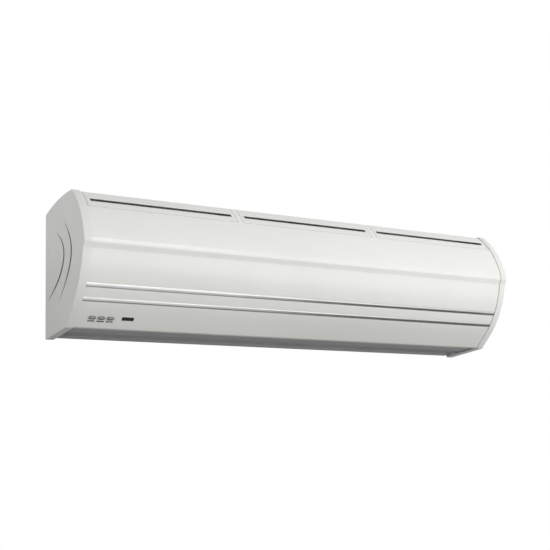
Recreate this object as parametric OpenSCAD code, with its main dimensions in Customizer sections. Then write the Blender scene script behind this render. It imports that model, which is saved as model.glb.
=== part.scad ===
// Over-door air curtain for a wall: a long curved casing with three intake
// grilles, two bright trim strips, three push buttons and a linked outlet louvre.
// Inside, a central motor turns two cross-flow impellers.
// Sections are drawn as (depth from the wall, height above the bottom back edge).

/* [Overall size] */
// Length over both end caps
unit_l = 900; // [840:10:1200]
// Height of the casing at the wall
back_h = 223; // [220:1:226]
// Height of the edge where the top meets the front
peak_h = 233.5; // [231:0.5:236]
// Depth of that edge from the wall
peak_d = 132; // [129:1:135]
// Greatest depth, at the brow
brow_d = 189.5; // [187:0.5:192]
// Height where the brow's upright strip starts
brow_top_h = 139; // [138:0.5:141]
// Height of the brow's lower corner
brow_h = 131; // [129:0.5:132]
// How far the step under the brow goes back
step_in = 5.8; // [4.5:0.1:7.5]
// Height of the step between its two edges
step_drop = 9; // [7:0.5:11]
// Depth where the lower curve meets the button panel
chin_d = 128; // [126:0.5:130]
// Height where the lower curve meets the button panel
chin_h = 28.5; // [27:0.5:30]
// Depth of the front bottom edge
toe_d = 99.7; // [98:0.1:102]
// Height of the front bottom edge
toe_h = 4.5; // [3.5:0.1:5.5]

/* [Curves] */
// Radius of the gently domed top
top_r = 391; // [360:1:450]
// Radius of the front above the step
upper_r = 160; // [150:1:175]
// Radius of the front below the step
lower_r = 168; // [155:1:180]

/* [Casing] */
// Wall of the plastic casing
casing_t = 2.5; // [2:0.1:3]
// How far the end caps stand proud of the casing
cap_proud = 1.5; // [1:0.1:2]
// Width of an end cap's rim
cap_w = 14; // [12:0.5:18]
// Dark seam between the casing and an end cap
seam_w = 0.4; // [0.3:0.1:0.8]
// Wall of an end cap
cap_t = 2.5; // [2:0.1:3]
// Length of the lip that the casing turns under its front bottom edge
toe_lip = 9; // [7:0.5:12]
// Height of the outlet's face above the end caps' lower rims
sole_recess = 3.5; // [2.5:0.1:4.5]
// Diameter of a boss that holds an end cap
boss_dia = 9; // [8:0.5:11]

/* [Intake grilles] */
// Distance of the grilles' front seam under the edge where top and front meet
grille_drop = 35.5; // [32:0.5:39]
// Depth of the grilles' rear seam from the wall
grille_back_d = 40; // [36:1:46]
// Casing strip between two grilles
grille_strip = 10; // [8:1:14]
// Casing strip between a grille and an end cap
grille_edge = 3; // [2:0.5:5]
// Seam round each grille
grille_seam = 0.4; // [0.3:0.05:0.6]
// Thickness of a grille's rim
grille_t = 1.4; // [1.2:0.1:1.6]
// Width of the rebate that carries a grille's rim
grille_seat = 4; // [3:0.5:5]
// Plain border between a grille's end and its slots
grille_border = 8; // [7:1:12]
// Distance of the middle of the front slot under that edge
front_slot_drop = 21; // [19:0.5:23]
// Height of the front slot
front_slot_w = 4; // [3:0.25:4.5]
// Width of a slot in the top
top_slot_w = 3.8; // [3:0.1:4]
// Distance between the middles of two top slots
slot_pitch = 8; // [7:0.5:9]
// Plain border between the rear seam and the first slot
slot_border = 11.3; // [10:0.1:13]
// Number of slots in the top of each grille
top_slots = 8; // [6:1:9]
// Number of ribs that cross the slots in the top
slot_ribs = 3; // [2:1:5]
// Width of such a rib
rib_w = 2.5; // [2:0.5:4]

/* [Bright trims] */
// Width of a trim strip
trim_w = 8; // [7:0.5:9]
// How far a trim stands out of the casing
trim_proud = 1.3; // [1:0.1:1.6]
// Depth of the groove that a trim lies in
trim_seat = 0.9; // [0.7:0.1:1.2]
// Radius of a trim's rounded face
trim_r = 6; // [5.5:0.5:8]
// Height of the upper trim
trim_upper_h = 65.5; // [63:0.5:68]
// Height of the lower trim
trim_lower_h = 44.5; // [43:0.5:47]

/* [Buttons and window] */
// Length of a button
button_l = 12; // [11:0.5:13]
// Width of a button
button_w = 6; // [5:0.5:7]
// Distance between two buttons
button_pitch = 16.3; // [16:0.1:18]
// Distance from the unit's left face to the first button
button_start = 40.9; // [38:0.1:46]
// Distance of the buttons above the front bottom edge, along the panel
button_up = 23.5; // [22:0.5:25]
// Travel of a button
button_travel = 1; // [0.8:0.1:1.2]
// How far a button's rim stands out of the panel
button_proud = 1.4; // [1.2:0.1:1.8]
// Height of a button's dome over its rim
dome_h = 1.8; // [1.4:0.1:2.2]
// Clearance between a button and its hole
button_fit = 0.15; // [0.1:0.05:0.2]
// Distance from the unit's left face to the middle of the receiver window
window_start = 104.4; // [103:0.1:115]
// Length of the receiver window
window_l = 21.7; // [18:0.1:24]
// Height of the receiver window
window_w = 8; // [6:0.5:9]
// Clearance round the receiver window
window_fit = 0.1; // [0.05:0.05:0.2]

/* [Sheet metal] */
// Thickness of the steel sheet
sheet_t = 1.2; // [1:0.1:1.5]
// Thickness of the wall plate
wall_plate_t = 1.5; // [1.2:0.1:2]
// Gap between an end of the wall plate and the end plate beside it
wall_plate_end = 53; // [48:1:70]
// Height of the wall plate
wall_plate_h = 140; // [130:1:150]
// Space between the wall and the chassis
chassis_gap = 8; // [7:0.5:9]
// Distance between the wall screws along the unit
bolt_x = 640; // [560:10:660]
// Distance between the wall screws in height
bolt_z = 100; // [80:5:105]
// Diameter of a wall screw hole
bolt_dia = 6.5; // [5.5:0.5:7]
// Height of the middle of the wall screws over the bottom back edge
mount_h = 125; // [120:1:130]
// Distance between two hooks on the wall plate
hook_pitch = 200; // [180:5:210]
// Width of a hook
hook_w = 24; // [20:1:30]
// Height of a hook's turned-up lip
hook_lip = 8; // [6:0.5:10]
// Distance of the hooks under the wall plate's top edge
hook_drop = 12; // [10:0.5:16]
// Height of the chassis's lower rim
chassis_low_h = 44; // [43:0.5:48]
// Distance between two screws in the casing's top edge
casing_screw_pitch = 300; // [260:10:340]

/* [Fan] */
// Depth of the fan's axis from the wall
fan_d = 82; // [80:1:86]
// Height of the fan's axis
fan_h = 142; // [138:1:146]
// Diameter of an impeller
fan_dia = 92; // [88:1:96]
// Number of blades on an impeller
blades = 30; // [24:1:36]
// Depth of a blade from the rim inwards
blade_depth = 11; // [9:0.5:13]
// Thickness of a blade
blade_t = 1.1; // [0.9:0.1:1.4]
// Number of rings between an impeller's two ends
fan_rings = 5; // [3:1:7]
// Thickness of a ring or end disc
ring_t = 1.6; // [1.4:0.1:2.2]
// Diameter of the motor's shaft
shaft_dia = 8; // [7:0.5:9]
// Diameter of an impeller's outer stub shaft
stub_dia = 10; // [9:0.5:11]
// Running clearance on a radius
run_fit = 0.05; // [0.02:0.01:0.08]
// Gap between an impeller and the scroll
scroll_gap = 4; // [3:0.5:5]

/* [Motor] */
// Diameter of the motor
motor_dia = 84; // [78:1:88]
// Length of the motor's body
motor_l = 84; // [76:2:90]
// Diameter of the boss at each end of the motor
motor_boss_dia = 28; // [26:1:30]
// Length of that boss
motor_boss_l = 14; // [13:1:16]
// Wall of the rubber ring on a boss
ring_wall = 5; // [4:0.5:6]
// Length of a rubber ring
ring_l = 9; // [8:0.5:10]

/* [Outlet] */
// Depth of the outlet slot's rear edge from the wall
slot_back_d = 9; // [8:0.5:10]
// Width of the outlet slot
slot_w = 40; // [38:0.5:42]
// Thickness of the outlet frame
frame_t = 2.5; // [2:0.1:3]
// Height of the outlet frame's walls
frame_wall_h = 24; // [23:0.5:27]
// Gap between the outlet frame and an end cap
frame_end_gap = 5; // [4.5:0.5:6]
// Depth of a vane from edge to edge
vane_chord = 20; // [18:0.5:21]
// Thickness of a vane in its middle
vane_t = 2.6; // [2.2:0.1:3]
// Distance between two vanes
vane_pitch = 10; // [9.6:0.2:10.4]
// Diameter of a vane's pivot pin
vane_pin_dia = 3; // [2.5:0.1:3.4]
// Height of the vanes' lower edges above the outlet's face
vane_rise = 1; // [0.8:0.1:1.5]
// Distance of the link's pins above the vanes' pivots
link_arm = 14; // [13:0.5:15]
// Diameter of a pin that the link bar turns on
link_pin_dia = 2.5; // [2:0.1:3]
// Distance of the link bar from the middle of the unit
link_off = 120; // [100:5:140]

/* [Inner pieces] */
// Bore of the cable grommet
cable_dia = 9; // [8:0.5:10]
// Distance of the grommet beyond the wall plate's end
cable_off = 22; // [20:0.5:30]
// Height of the grommet over the bottom back edge
cable_h = 178; // [170:1:185]
// Length of the shelf for the electrical parts
tray_l = 160; // [155:5:200]
// Distance of the shelf's middle from the middle of the unit
tray_off = 220; // [200:5:240]
// Height of the shelf over the outlet's face
tray_rise = 8; // [7:0.5:10]
// Thickness of the circuit board
board_t = 1.6; // [1.2:0.1:2]
// Distance from the panel's outer face to the circuit board
board_depth = 11; // [10.5:0.1:12]

/* [Hidden] */
$fn = 64;

// A small gap that lets a piece slide into its seat
seat_gap = 0.3;
// Extra length that lets a cut pass a face
past = 1;

half_l = unit_l / 2;
seam_x = half_l - cap_w;
skin = cap_proud + casing_t;
fan_axis = [fan_d, fan_h];

// Corners of the cap's side view, clockwise from the top at the wall
back_top = [0, back_h];
peak = [peak_d, peak_h];
brow_top = [brow_d, brow_top_h];
ledge = [brow_d - step_in, brow_h - step_drop];
chin = [chin_d, chin_h];
toe = [toe_d, toe_h];

// Centre of the arc of radius r that runs clockwise from p to q
function arc_centre(p, q, r) =
    let (v = q - p, half = norm(v) / 2)
    (p + q) / 2 + [v.y, -v.x] / (2 * half) * sqrt(r * r - half * half);
// Unit vector of an angle in a section
function heading(a) = [cos(a), sin(a)];
// A span of width w whose middle is m, and one that runs from a
function about(m, w) = [m - w / 2, m + w / 2];
function from(a, w) = [a, a + w];

top_c = arc_centre(back_top, peak, top_r);
upper_c = arc_centre(peak, brow_top, upper_r);
lower_c = arc_centre(ledge, chin, lower_r);
chin_dir = (chin - toe) / norm(chin - toe);
chin_out = [chin_dir.y, -chin_dir.x];
chin_tilt = atan2(chin_out.x, chin_out.y);
sole_dir = toe / norm(toe);
sole_up = [-sole_dir.y, sole_dir.x];
step_run = [brow_d, brow_h] - ledge;
step_angle = atan2(step_run.x, step_run.y);

// Angle on the lower curve at height h
function lower_angle(h) = asin((h - lower_c.y) / lower_r);
// Height of the sole line at depth d, raised by g
function sole_h(d, g) = d * toe_h / toe_d + g;

// ---------- drawing helpers ----------

// Runs a section from x0 to x1
module lengthwise(x0, x1) {
    translate([x1, 0, 0]) rotate([90, 0, -90]) linear_extrude(x1 - x0) children();
}

// A round bar along the unit at point p of the section
module rod(p, x0, x1, r) {
    translate([x0, -p.x, p.y]) rotate([0, 90, 0]) cylinder(h = x1 - x0, r = r);
}

// A box given by its ends in x, depth and height
module block(x, d, h) {
    translate([x[0], -d[1], h[0]]) cube([x[1] - x[0], d[1] - d[0], h[1] - h[0]]);
}

// Places children on the button panel: z points out of it, y up along it
module on_panel(x, up) {
    p = toe + chin_dir * up - chin_out * cap_proud;
    translate([x, -p.x, p.y]) rotate([chin_tilt, 0, 0]) children();
}

// A straight strip of sheet between two points of a section
module strip(p, q, t) {
    v = q - p;
    translate(p) rotate(atan2(v.y, v.x)) translate([0, -t / 2]) square([norm(v), t]);
}

// A ring sector of a section about c, from angle a0 to a1 (less than half a turn)
module arc_strip(c, r, t, a0, a1) {
    far = 2 * r;
    translate(c) intersection() {
        difference() {
            circle(r = r + t);
            circle(r = r);
        }
        polygon([[0, 0], heading(a0) * far, heading((a0 + a1) / 2) * far, heading(a1) * far]);
    }
}

module mirror_if(flip) {
    mirror([flip ? 1 : 0, 0, 0]) children();
}

// Hangs the model with its origin in the middle of the wall screws
module hang() {
    translate([0, 0, -mount_h]) children();
}

// ---------- the outer section ----------

// Side view of the unit, drawn in by g on every side but the wall's
module section(g = 0) {
    brow_z = brow_h + g * tan(step_angle / 2);
    brow_corner = [brow_d - g, brow_z];
    inside = brow_corner - step_run * 3;
    intersection() {
        translate(top_c) circle(r = top_r - g, $fn = 180);
        translate(upper_c) circle(r = upper_r - g, $fn = 180);
        translate([0, brow_z]) square([brow_d - g, back_h]);
    }
    polygon([[0, inside.y], inside, brow_corner, [0, brow_z]]);
    // the lower curve, down to the line from its centre through the chin
    end = lower_c + (chin - lower_c) * 1.5;
    intersection() {
        translate(lower_c) circle(r = lower_r - g, $fn = 180);
        square([2 * brow_d, brow_z]);
        polygon([lower_c, end, [2 * brow_d, end.y], [2 * brow_d, back_h], [lower_c.x, back_h]]);
    }
    // the button panel and the sole
    intersection() {
        over_sole(g);
        polygon([lower_c, end, [0, end.y], [0, lower_c.y]]);
    }
    // what both have along the line where they meet
    intersection() {
        translate(lower_c) circle(r = lower_r - g, $fn = 180);
        over_sole(g);
        strip(lower_c, end, 2 * casing_t);
    }
}

// The space above the sole and behind the button panel, drawn in by g
module over_sole(g) {
    turn = 180 - (atan2(chin_dir.y, chin_dir.x) - atan2(sole_dir.y, sole_dir.x));
    corner = toe + sole_up * g - sole_dir * g / tan(turn / 2);
    polygon([[0, g / sole_dir.x], corner, corner + chin_dir * back_h, [0, back_h]]);
}

// The casing's wall, open at the wall side and under the outlet
module casing_section() {
    difference() {
        section(cap_proud);
        section(skin);
        square([toe_d - toe_lip, brow_h]);
    }
}

// The part of a section that a grille takes up, drawn in by m along the section
module grille_wedge(m) {
    low = back_h - 4 * casing_t;
    high = max(back_h, peak_h) + 4 * casing_t;
    polygon([
        [grille_back_d + m, low], [grille_back_d + m, high], [brow_d, high],
        [brow_d, grille_front_h + m], [peak_d, grille_front_h + m], [peak_d - 8 * casing_t, low]
    ]);
}

// ---------- casing ----------

grille_front_h = peak_h - grille_drop;
front_slot_h = peak_h - front_slot_drop;
grille_l = (2 * seam_x - 2 * grille_edge - 2 * grille_strip) / 3;
// Left end of grille i, counted from 0 at the left
function grille_x(i) = -seam_x + grille_edge + i * (grille_l + grille_strip);
button_x = [for (i = [0:2]) -half_l + button_start + i * button_pitch];
window_x = -half_l + window_start;
rebate_g = cap_proud + grille_t + seat_gap;
trim_heights = [trim_upper_h, trim_lower_h];

module trim_place(h) {
    a = lower_angle(h);
    translate(lower_c + heading(a) * (lower_r - cap_proud)) rotate(a) children();
}

module front_panel() {
    color("white") difference() {
        union() {
            lengthwise(-seam_x + seam_w, seam_x - seam_w) casing_section();
            for (x = casing_screw_x) lengthwise(x - casing_tab_w / 2, x + casing_tab_w / 2) casing_tab();
        }
        for (i = [0:2]) {
            lengthwise(grille_x(i), grille_x(i) + grille_l) difference() {
                grille_wedge(0);
                section(rebate_g);
            }
            lengthwise(grille_x(i) + grille_seat, grille_x(i) + grille_l - grille_seat)
                grille_wedge(grille_seat);
        }
        for (h = trim_heights) lengthwise(-seam_x - past, seam_x + past)
            trim_place(h) translate([-trim_seat, -trim_w / 2 - button_fit])
                square([2 * trim_seat, trim_w + 2 * button_fit]);
        for (x = button_x) on_panel(x, button_up)
            translate([0, 0, -2 * casing_t]) linear_extrude(4 * casing_t) key_outline(button_fit);
        on_panel(window_x, button_up) translate([-window_l / 2, -window_w / 2, -2 * casing_t])
            cube([window_l, window_w, 4 * casing_t]);
        for (x = casing_screw_x) translate([x, -casing_tab_d, 0]) {
            translate([0, 0, chassis_top_h]) cylinder(h = casing_seat_h, r = screw_r + button_fit);
            translate([0, 0, casing_seat_h]) cylinder(h = casing_seat_h, r = head_r + button_fit);
        }
    }
}

// Tab under the casing's top edge that a screw holds to the chassis
casing_tab_d = 4.5;
casing_tab_w = 16;
casing_screw_x = [-1, 0, 1] * casing_screw_pitch;
screw_r = 1.6;
head_r = 3.2;
head_h = 1.6;
screw_grip = 2;
// Height of the chassis's top, and of the seat under a casing screw's head
chassis_top_h = back_h - skin - 4;
casing_seat_h = back_h - 3;
module casing_tab() {
    intersection() {
        section(skin - seat_gap);
        translate([0, chassis_top_h + sheet_t]) square([chassis_gap, back_h]);
    }
}

// Screw with its head at the origin and its shank pointing down z
module screw(shank) {
    translate([0, 0, -shank]) cylinder(h = shank, r = screw_r, $fn = 24);
    cylinder(h = head_h, r = head_r, $fn = 24);
}

module casing_screws() {
    color("silver") for (x = casing_screw_x)
        translate([x, -casing_tab_d, casing_seat_h]) screw(casing_seat_h - chassis_top_h + screw_grip);
}

// ---------- intake grilles ----------

module intake_grille(i) {
    x0 = grille_x(i) + grille_seam;
    x1 = grille_x(i) + grille_l - grille_seam;
    inner = grille_seat + seat_gap;
    slot_x0 = grille_x(i) + grille_border;
    slot_l = grille_l - 2 * grille_border;
    bay = (slot_l - slot_ribs * rib_w) / (slot_ribs + 1);
    color("whitesmoke") difference() {
        union() {
            lengthwise(x0, x1) difference() {
                intersection() {
                    grille_wedge(grille_seam);
                    section(cap_proud);
                }
                section(cap_proud + grille_t);
            }
            lengthwise(grille_x(i) + inner, grille_x(i) + grille_l - inner) difference() {
                intersection() {
                    grille_wedge(inner);
                    section(cap_proud + grille_t / 2);
                }
                section(skin + grille_t);
            }
        }
        block(from(slot_x0, slot_l), [peak_d, brow_d], about(front_slot_h, front_slot_w));
        for (k = [0:slot_ribs]) {
            a = slot_x0 + k * (bay + rib_w);
            for (j = [0:top_slots - 1]) {
                d = grille_back_d + slot_border + j * slot_pitch;
                block(from(a, bay), from(d, top_slot_w), [back_h - 8 * casing_t, max(back_h, peak_h) + 4 * casing_t]);
            }
        }
    }
}

// ---------- bright trims ----------

module trim_strip(h) {
    color("gainsboro") lengthwise(-seam_x + seam_w, seam_x - seam_w) trim_place(h)
        intersection() {
            translate([trim_proud - trim_r, 0]) circle(r = trim_r);
            translate([-trim_seat, -trim_w / 2]) square([trim_seat + trim_proud, trim_w]);
        }
}

// ---------- end caps ----------

// Control points of the two crescent grooves in an end cap, front one first, each given by its
// distance from a corner of the section
crescents = [
    [peak + [-41, -43], brow_top + [-27.5, -11.5], ledge + [-57.7, -21.5], toe + [-31.7, 46]],
    [back_top + [52, -44], brow_top + [-46.5, -8], ledge + [-114.7, -39], [11, toe_h + 59.5]]
];
crescent_w = 5.5;
crescent_depth = 3;
crescent_wall = 1.5;
crescent_steps = 14;

function bezier(p, t) =
    pow(1 - t, 3) * p[0] + 3 * pow(1 - t, 2) * t * p[1] + 3 * (1 - t) * t * t * p[2] + pow(t, 3) * p[3];
function bezier_side(p, t) =
    let (v = pow(1 - t, 2) * (p[1] - p[0]) + 2 * (1 - t) * t * (p[2] - p[1]) + t * t * (p[3] - p[2]))
    [v.y, -v.x] / norm(v);

// A crescent that tapers from its middle to a point at each end, grown by m on all sides
module crescent(p, m) {
    tip = m / norm(p[3] - p[0]) / 2;
    sharp = m > 0 ? 0 : 1;
    ts = [for (i = [0:crescent_steps]) -tip + i * (1 + 2 * tip) / crescent_steps];
    half = [for (t = ts) m + crescent_w / 2 * sin(180 * min(max(t, 0), 1))];
    outer = [for (i = [0:crescent_steps]) bezier(p, ts[i]) - bezier_side(p, ts[i]) * half[i]];
    inner = [for (i = [crescent_steps - sharp:-1:sharp]) bezier(p, ts[i]) + bezier_side(p, ts[i]) * half[i]];
    polygon(concat(outer, inner));
}

// Places of the bosses that hold an end cap to its end plate
cap_bosses = [[30, 40], [30, 190], [135, 60]];
boss_r = boss_dia / 2;
cap_screw_l = 8;

// A cap for the right end; its outer face is at half_l
module end_cap() {
    color("white") difference() {
        union() {
            difference() {
                lengthwise(seam_x, half_l) section(0);
                lengthwise(seam_x - past, half_l - cap_t) section(cap_t);
            }
            for (p = cap_bosses) rod(p, end_plate_x, half_l - cap_t / 2, boss_r);
            for (c = crescents)
                lengthwise(half_l - crescent_depth - crescent_wall, half_l - cap_t / 2)
                    crescent(c, crescent_wall);
        }
        for (c = crescents) lengthwise(half_l - crescent_depth, half_l + past) crescent(c, 0);
        for (p = cap_bosses) rod(p, end_plate_x - past, half_l - cap_t - past, screw_r + button_fit);
    }
}

module cap_screws() {
    for (side = [0, 1]) mirror_if(side == 1) color("silver") for (p = cap_bosses)
        translate([end_plate_x - sheet_t, -p.x, p.y]) rotate([0, -90, 0]) screw(cap_screw_l);
}

// ---------- sheet metal ----------

plate_set_in = 3;
end_plate_x = seam_x - plate_set_in;
tray_d = chassis_gap + sheet_t;
wall_plate_l = 2 * (end_plate_x - wall_plate_end);
hook_x = [-1.5, -0.5, 0.5, 1.5] * hook_pitch;
hook_h = mount_h + wall_plate_h / 2 - hook_drop;
hook_play = 2;
// Height under which an end plate is cut away for the outlet
plate_foot_h = 30;
// Tabs that an end plate turns in behind the impeller
plate_tab_l = 14;
plate_tab_h = 12;
plate_tab_screw = 8;
plate_tab_drop = 30;
plate_tab_rise = 66;
plate_tabs_h = [fan_h - plate_tab_drop, fan_h + plate_tab_rise];

module wall_plate() {
    color("silver") difference() {
        union() {
            block(about(0, wall_plate_l), [0, wall_plate_t], about(mount_h, wall_plate_h));
            for (x = hook_x) {
                block(about(x, hook_w), [0, tray_d + seat_gap + wall_plate_t], from(hook_h, wall_plate_t));
                block(about(x, hook_w), from(tray_d + seat_gap, wall_plate_t), from(hook_h, hook_lip));
            }
        }
        for (x = [-0.5, 0.5] * bolt_x, z = [-0.5, 0.5] * bolt_z)
            translate([x, past, mount_h + z]) rotate([90, 0, 0])
                cylinder(h = wall_plate_t + 2 * past, r = bolt_dia / 2);
    }
}

// The chassis is a tray whose rims reach back to the wall
module back_chassis() {
    reach = end_plate_x - sheet_t - seat_gap;
    color("lightgray") difference() {
        union() {
            block([-reach, reach], [chassis_gap, tray_d], [chassis_low_h, chassis_top_h + sheet_t]);
            block([-reach, reach], [seat_gap, tray_d], [chassis_top_h, chassis_top_h + sheet_t]);
            block([-reach, reach], [seat_gap, tray_d], from(chassis_low_h, sheet_t));
        }
        for (x = hook_x) block(about(x, hook_w + 2 * hook_play), [chassis_gap - past, tray_d + past],
            [hook_h - hook_lip - hook_play, hook_h + wall_plate_t]);
        translate([cable_x, -tray_d - past, cable_h]) rotate([-90, 0, 0])
            cylinder(h = sheet_t + 2 * past, r = grommet_neck_r);
        for (x = casing_screw_x) translate([x, -casing_tab_d, chassis_top_h - past])
            cylinder(h = sheet_t + 2 * past, r = screw_r + button_fit);
    }
}

// Bulkhead at the right end; it carries the bearing and the chassis
module end_plate() {
    color("lightgray") difference() {
        union() {
            lengthwise(end_plate_x - sheet_t, end_plate_x) difference() {
                section(skin + seat_gap);
                square([seat_gap, back_h]);
                square([brow_d, plate_foot_h]);
                translate(fan_axis) circle(r = seat_neck_r);
                for (p = cap_bosses) translate(p) circle(r = screw_r + button_fit);
            }
            for (h = plate_tabs_h) block([end_plate_x - sheet_t - plate_tab_l, end_plate_x],
                from(tray_d, sheet_t), about(h, plate_tab_h));
        }
        for (h = plate_tabs_h) translate([plate_screw_x, -tray_d - sheet_t - past, h])
            rotate([-90, 0, 0]) cylinder(h = sheet_t + 2 * past, r = screw_r);
    }
}

plate_screw_x = end_plate_x - sheet_t - plate_tab_screw;
module chassis_screws() {
    for (side = [0, 1]) mirror_if(side == 1) color("silver") for (h = plate_tabs_h)
        translate([plate_screw_x, -tray_d - sheet_t, h]) rotate([90, 0, 0]) screw(sheet_t);
}

// ---------- air path ----------

fan_r = fan_dia / 2;
scroll_r = fan_r + scroll_gap;
frame_top_h = sole_h(slot_back_d, sole_recess) + frame_wall_h;
// Half the length of the motor's bay, with the room beside its bosses
motor_gap = 8;
motor_bay = motor_l / 2 + motor_boss_l + motor_gap;
air_x0 = motor_bay;
air_x1 = end_plate_x - sheet_t - seat_gap;

// Angle where the scroll's lip ends over the impeller
scroll_lip_a = 112;
// Heights over and under the axis where the scroll meets the chassis
scroll_rise = 58;
scroll_drop = 62;
chassis_clear = 2;

// Rear wall of the air path, from over the fan down to the outlet
module scroll() {
    t = sheet_t;
    turn_in = fan_axis - [scroll_r + t / 2, 0];
    knee = [tray_d + t, fan_h - scroll_drop];
    turn_out = [tray_d + t, chassis_low_h - chassis_clear];
    foot = [slot_back_d - frame_wall_t / 2, frame_top_h + seat_gap];
    lip = fan_axis + heading(scroll_lip_a) * (scroll_r + t / 2);
    color("gray") lengthwise(air_x0, air_x1) {
        arc_strip(fan_axis, scroll_r, t, scroll_lip_a, 180);
        strip([tray_d + seat_gap, fan_h + scroll_rise], lip, t);
        strip(turn_in, knee, t);
        strip(knee, turn_out, t);
        strip(turn_out, foot, t);
        for (p = [lip, turn_in, knee, turn_out]) translate(p) circle(r = t / 2);
    }
}

// Angle of the tongue's tip under the axis, its rolled radius and its upright foot
tongue_a = -72;
tongue_tip_r = 2.5;
tongue_foot = 14;

// Front wall of the air path with its rolled tip close under the fan
module tongue() {
    t = sheet_t;
    tip = fan_axis + heading(tongue_a) * (scroll_r + tongue_tip_r);
    foot = [slot_front_d + frame_wall_t / 2, frame_top_h + seat_gap];
    knee = foot + [0, tongue_foot];
    color("gray") lengthwise(air_x0, air_x1) {
        translate(tip) circle(r = tongue_tip_r);
        strip(tip, knee, t);
        translate(knee) circle(r = t / 2);
        strip(knee, foot, t);
    }
}

// ---------- motor ----------

shaft_r = shaft_dia / 2;
motor_boss_r = motor_boss_dia / 2;
rubber_r = motor_boss_r + ring_wall;
ring_gap = 3;
rubber_x = motor_l / 2 + ring_gap;
rubber_mid = rubber_x + ring_l / 2;
// Bevelled step at each end of the motor's body
motor_step_l = 8;
motor_step = 4;

module motor_housing() {
    color("dimgray") difference() {
        union() {
            rod(fan_axis, -motor_l / 2 + motor_step_l, motor_l / 2 - motor_step_l, motor_dia / 2);
            rod(fan_axis, -motor_l / 2, motor_l / 2, motor_dia / 2 - motor_step);
            rod(fan_axis, -motor_l / 2 - motor_boss_l, motor_l / 2 + motor_boss_l, motor_boss_r);
        }
        rod(fan_axis, -motor_bay, motor_bay, shaft_r + run_fit);
    }
}

module motor_rings() {
    for (side = [0, 1]) mirror_if(side == 1) color("black") difference() {
        rod(fan_axis, rubber_x, rubber_x + ring_l, rubber_r);
        rod(fan_axis, rubber_x - past, rubber_x + ring_l + past, motor_boss_r);
    }
}

// Cradle: its base's height, its web's thickness and the ears on both sides of a ring
cradle_h = 48;
cradle_web = 3;
cradle_base = 2;
ear_out = 5;
ear_w = 7;
saddle_wall = 10;
nose_h = 12;

// Bracket on the chassis with a half-round saddle under each rubber ring
module motor_cradle() {
    nose_d = fan_d + rubber_r + ear_out + ear_w / 2 - 0.5;
    color("silver") difference() {
        union() {
            block(about(0, 2 * rubber_mid + cradle_web), from(tray_d, cradle_base),
                [fan_h - cradle_h, fan_h - 2 * cradle_base]);
            for (x = [-1, 1] * rubber_mid) {
                lengthwise(x - cradle_web / 2, x + cradle_web / 2) polygon([
                    [tray_d, fan_h - cradle_h], [tray_d, fan_h], [nose_d, fan_h],
                    [nose_d, fan_h - nose_h], [fan_d, fan_h - rubber_r - saddle_wall]
                ]);
                for (d = [-1, 1] * (rubber_r + ear_out))
                    block(about(x, ring_l - 2), about(fan_d + d, ear_w), from(fan_h - cradle_base, cradle_base));
            }
        }
        rod(fan_axis, -motor_bay, motor_bay, rubber_r + button_fit);
    }
}

// Straps over the rubber rings, with their screws' heads
strap_w = 6;
strap_t = 1;
strap_head_r = 2.6;
module motor_straps() {
    reach = rubber_r + ear_out + ear_w / 2;
    for (x = [-1, 1] * rubber_mid) color("silver") {
        lengthwise(x - strap_w / 2, x + strap_w / 2) difference() {
            union() {
                translate(fan_axis) circle(r = rubber_r + button_fit + strap_t);
                translate(fan_axis + [-reach, 0]) square([2 * reach, strap_t]);
            }
            translate(fan_axis) circle(r = rubber_r + button_fit);
            translate([0, fan_h - fan_dia]) square([brow_d, fan_dia]);
        }
        for (d = [-1, 1] * (rubber_r + ear_out)) translate([x, -fan_d - d, fan_h + strap_t])
            cylinder(h = head_h, r = strap_head_r, $fn = 24);
    }
}

module motor_shaft() {
    color("silver") rod(fan_axis, -air_x0 - hub_l, air_x0 + hub_l, shaft_r);
}

// ---------- impellers ----------

fan_motor_gap = 3;
fan_plate_gap = 6;
fan_x0 = motor_bay + fan_motor_gap;
fan_x1 = air_x1 - fan_plate_gap;
hub_r = 11;
hub_l = 16;
set_screw_in = 5;
set_screw_r = 1.6;
// Boss behind the outer stub, and how far the stub passes the end plate
stub_boss_l = 8;
stub_past = 6;
blade_lean = 28;

// Section of all blades: each is a curved slat, thick in the middle
module blade_section() {
    bow = blade_depth * 0.9;
    for (i = [0:blades - 1]) translate(fan_axis) rotate(i * 360 / blades)
        translate([fan_r - blade_depth / 2, 0]) rotate(-blade_lean) intersection() {
            translate([0, -bow]) difference() {
                circle(r = bow + blade_t / 2, $fn = 48);
                circle(r = bow - blade_t / 2, $fn = 48);
            }
            translate([-blade_depth / 2, -bow]) square([blade_depth, 2 * bow]);
        }
}

// An impeller at the right of the motor
module impeller() {
    rings = [for (k = [0:fan_rings + 1]) fan_x0 + k * (fan_x1 - fan_x0 - ring_t) / (fan_rings + 1)];
    color("steelblue") difference() {
        union() {
            lengthwise(fan_x0 + ring_t / 2, fan_x1 - ring_t / 2) blade_section();
            for (x = rings) rod(fan_axis, x, x + ring_t, fan_r);
            rod(fan_axis, fan_x0, fan_x0 + hub_l, hub_r);
            rod(fan_axis, fan_x1 - stub_boss_l, fan_x1, hub_r);
            rod(fan_axis, fan_x1 - stub_boss_l, end_plate_x + stub_past, stub_dia / 2);
        }
        for (k = [1:fan_rings]) rod(fan_axis, rings[k] - past, rings[k] + ring_t + past, fan_r - blade_depth);
        rod(fan_axis, fan_x0 - past, fan_x0 + hub_l + past, shaft_r + run_fit);
        translate([fan_x0 + hub_l - set_screw_in, -fan_d, fan_h])
            cylinder(h = hub_r + past, r = set_screw_r);
    }
}

module hub_screws() {
    for (side = [0, 1]) mirror_if(side == 1) color("silver")
        translate([fan_x0 + hub_l - set_screw_in, -fan_d, fan_h + shaft_r + run_fit])
            cylinder(h = hub_r - shaft_r - 1, r = set_screw_r - run_fit);
}

// ---------- bearings ----------

bearing_r = 11;
seat_r = 16;
seat_neck_r = 14;
bearing_l = 8;
seat_l = 7;

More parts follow.
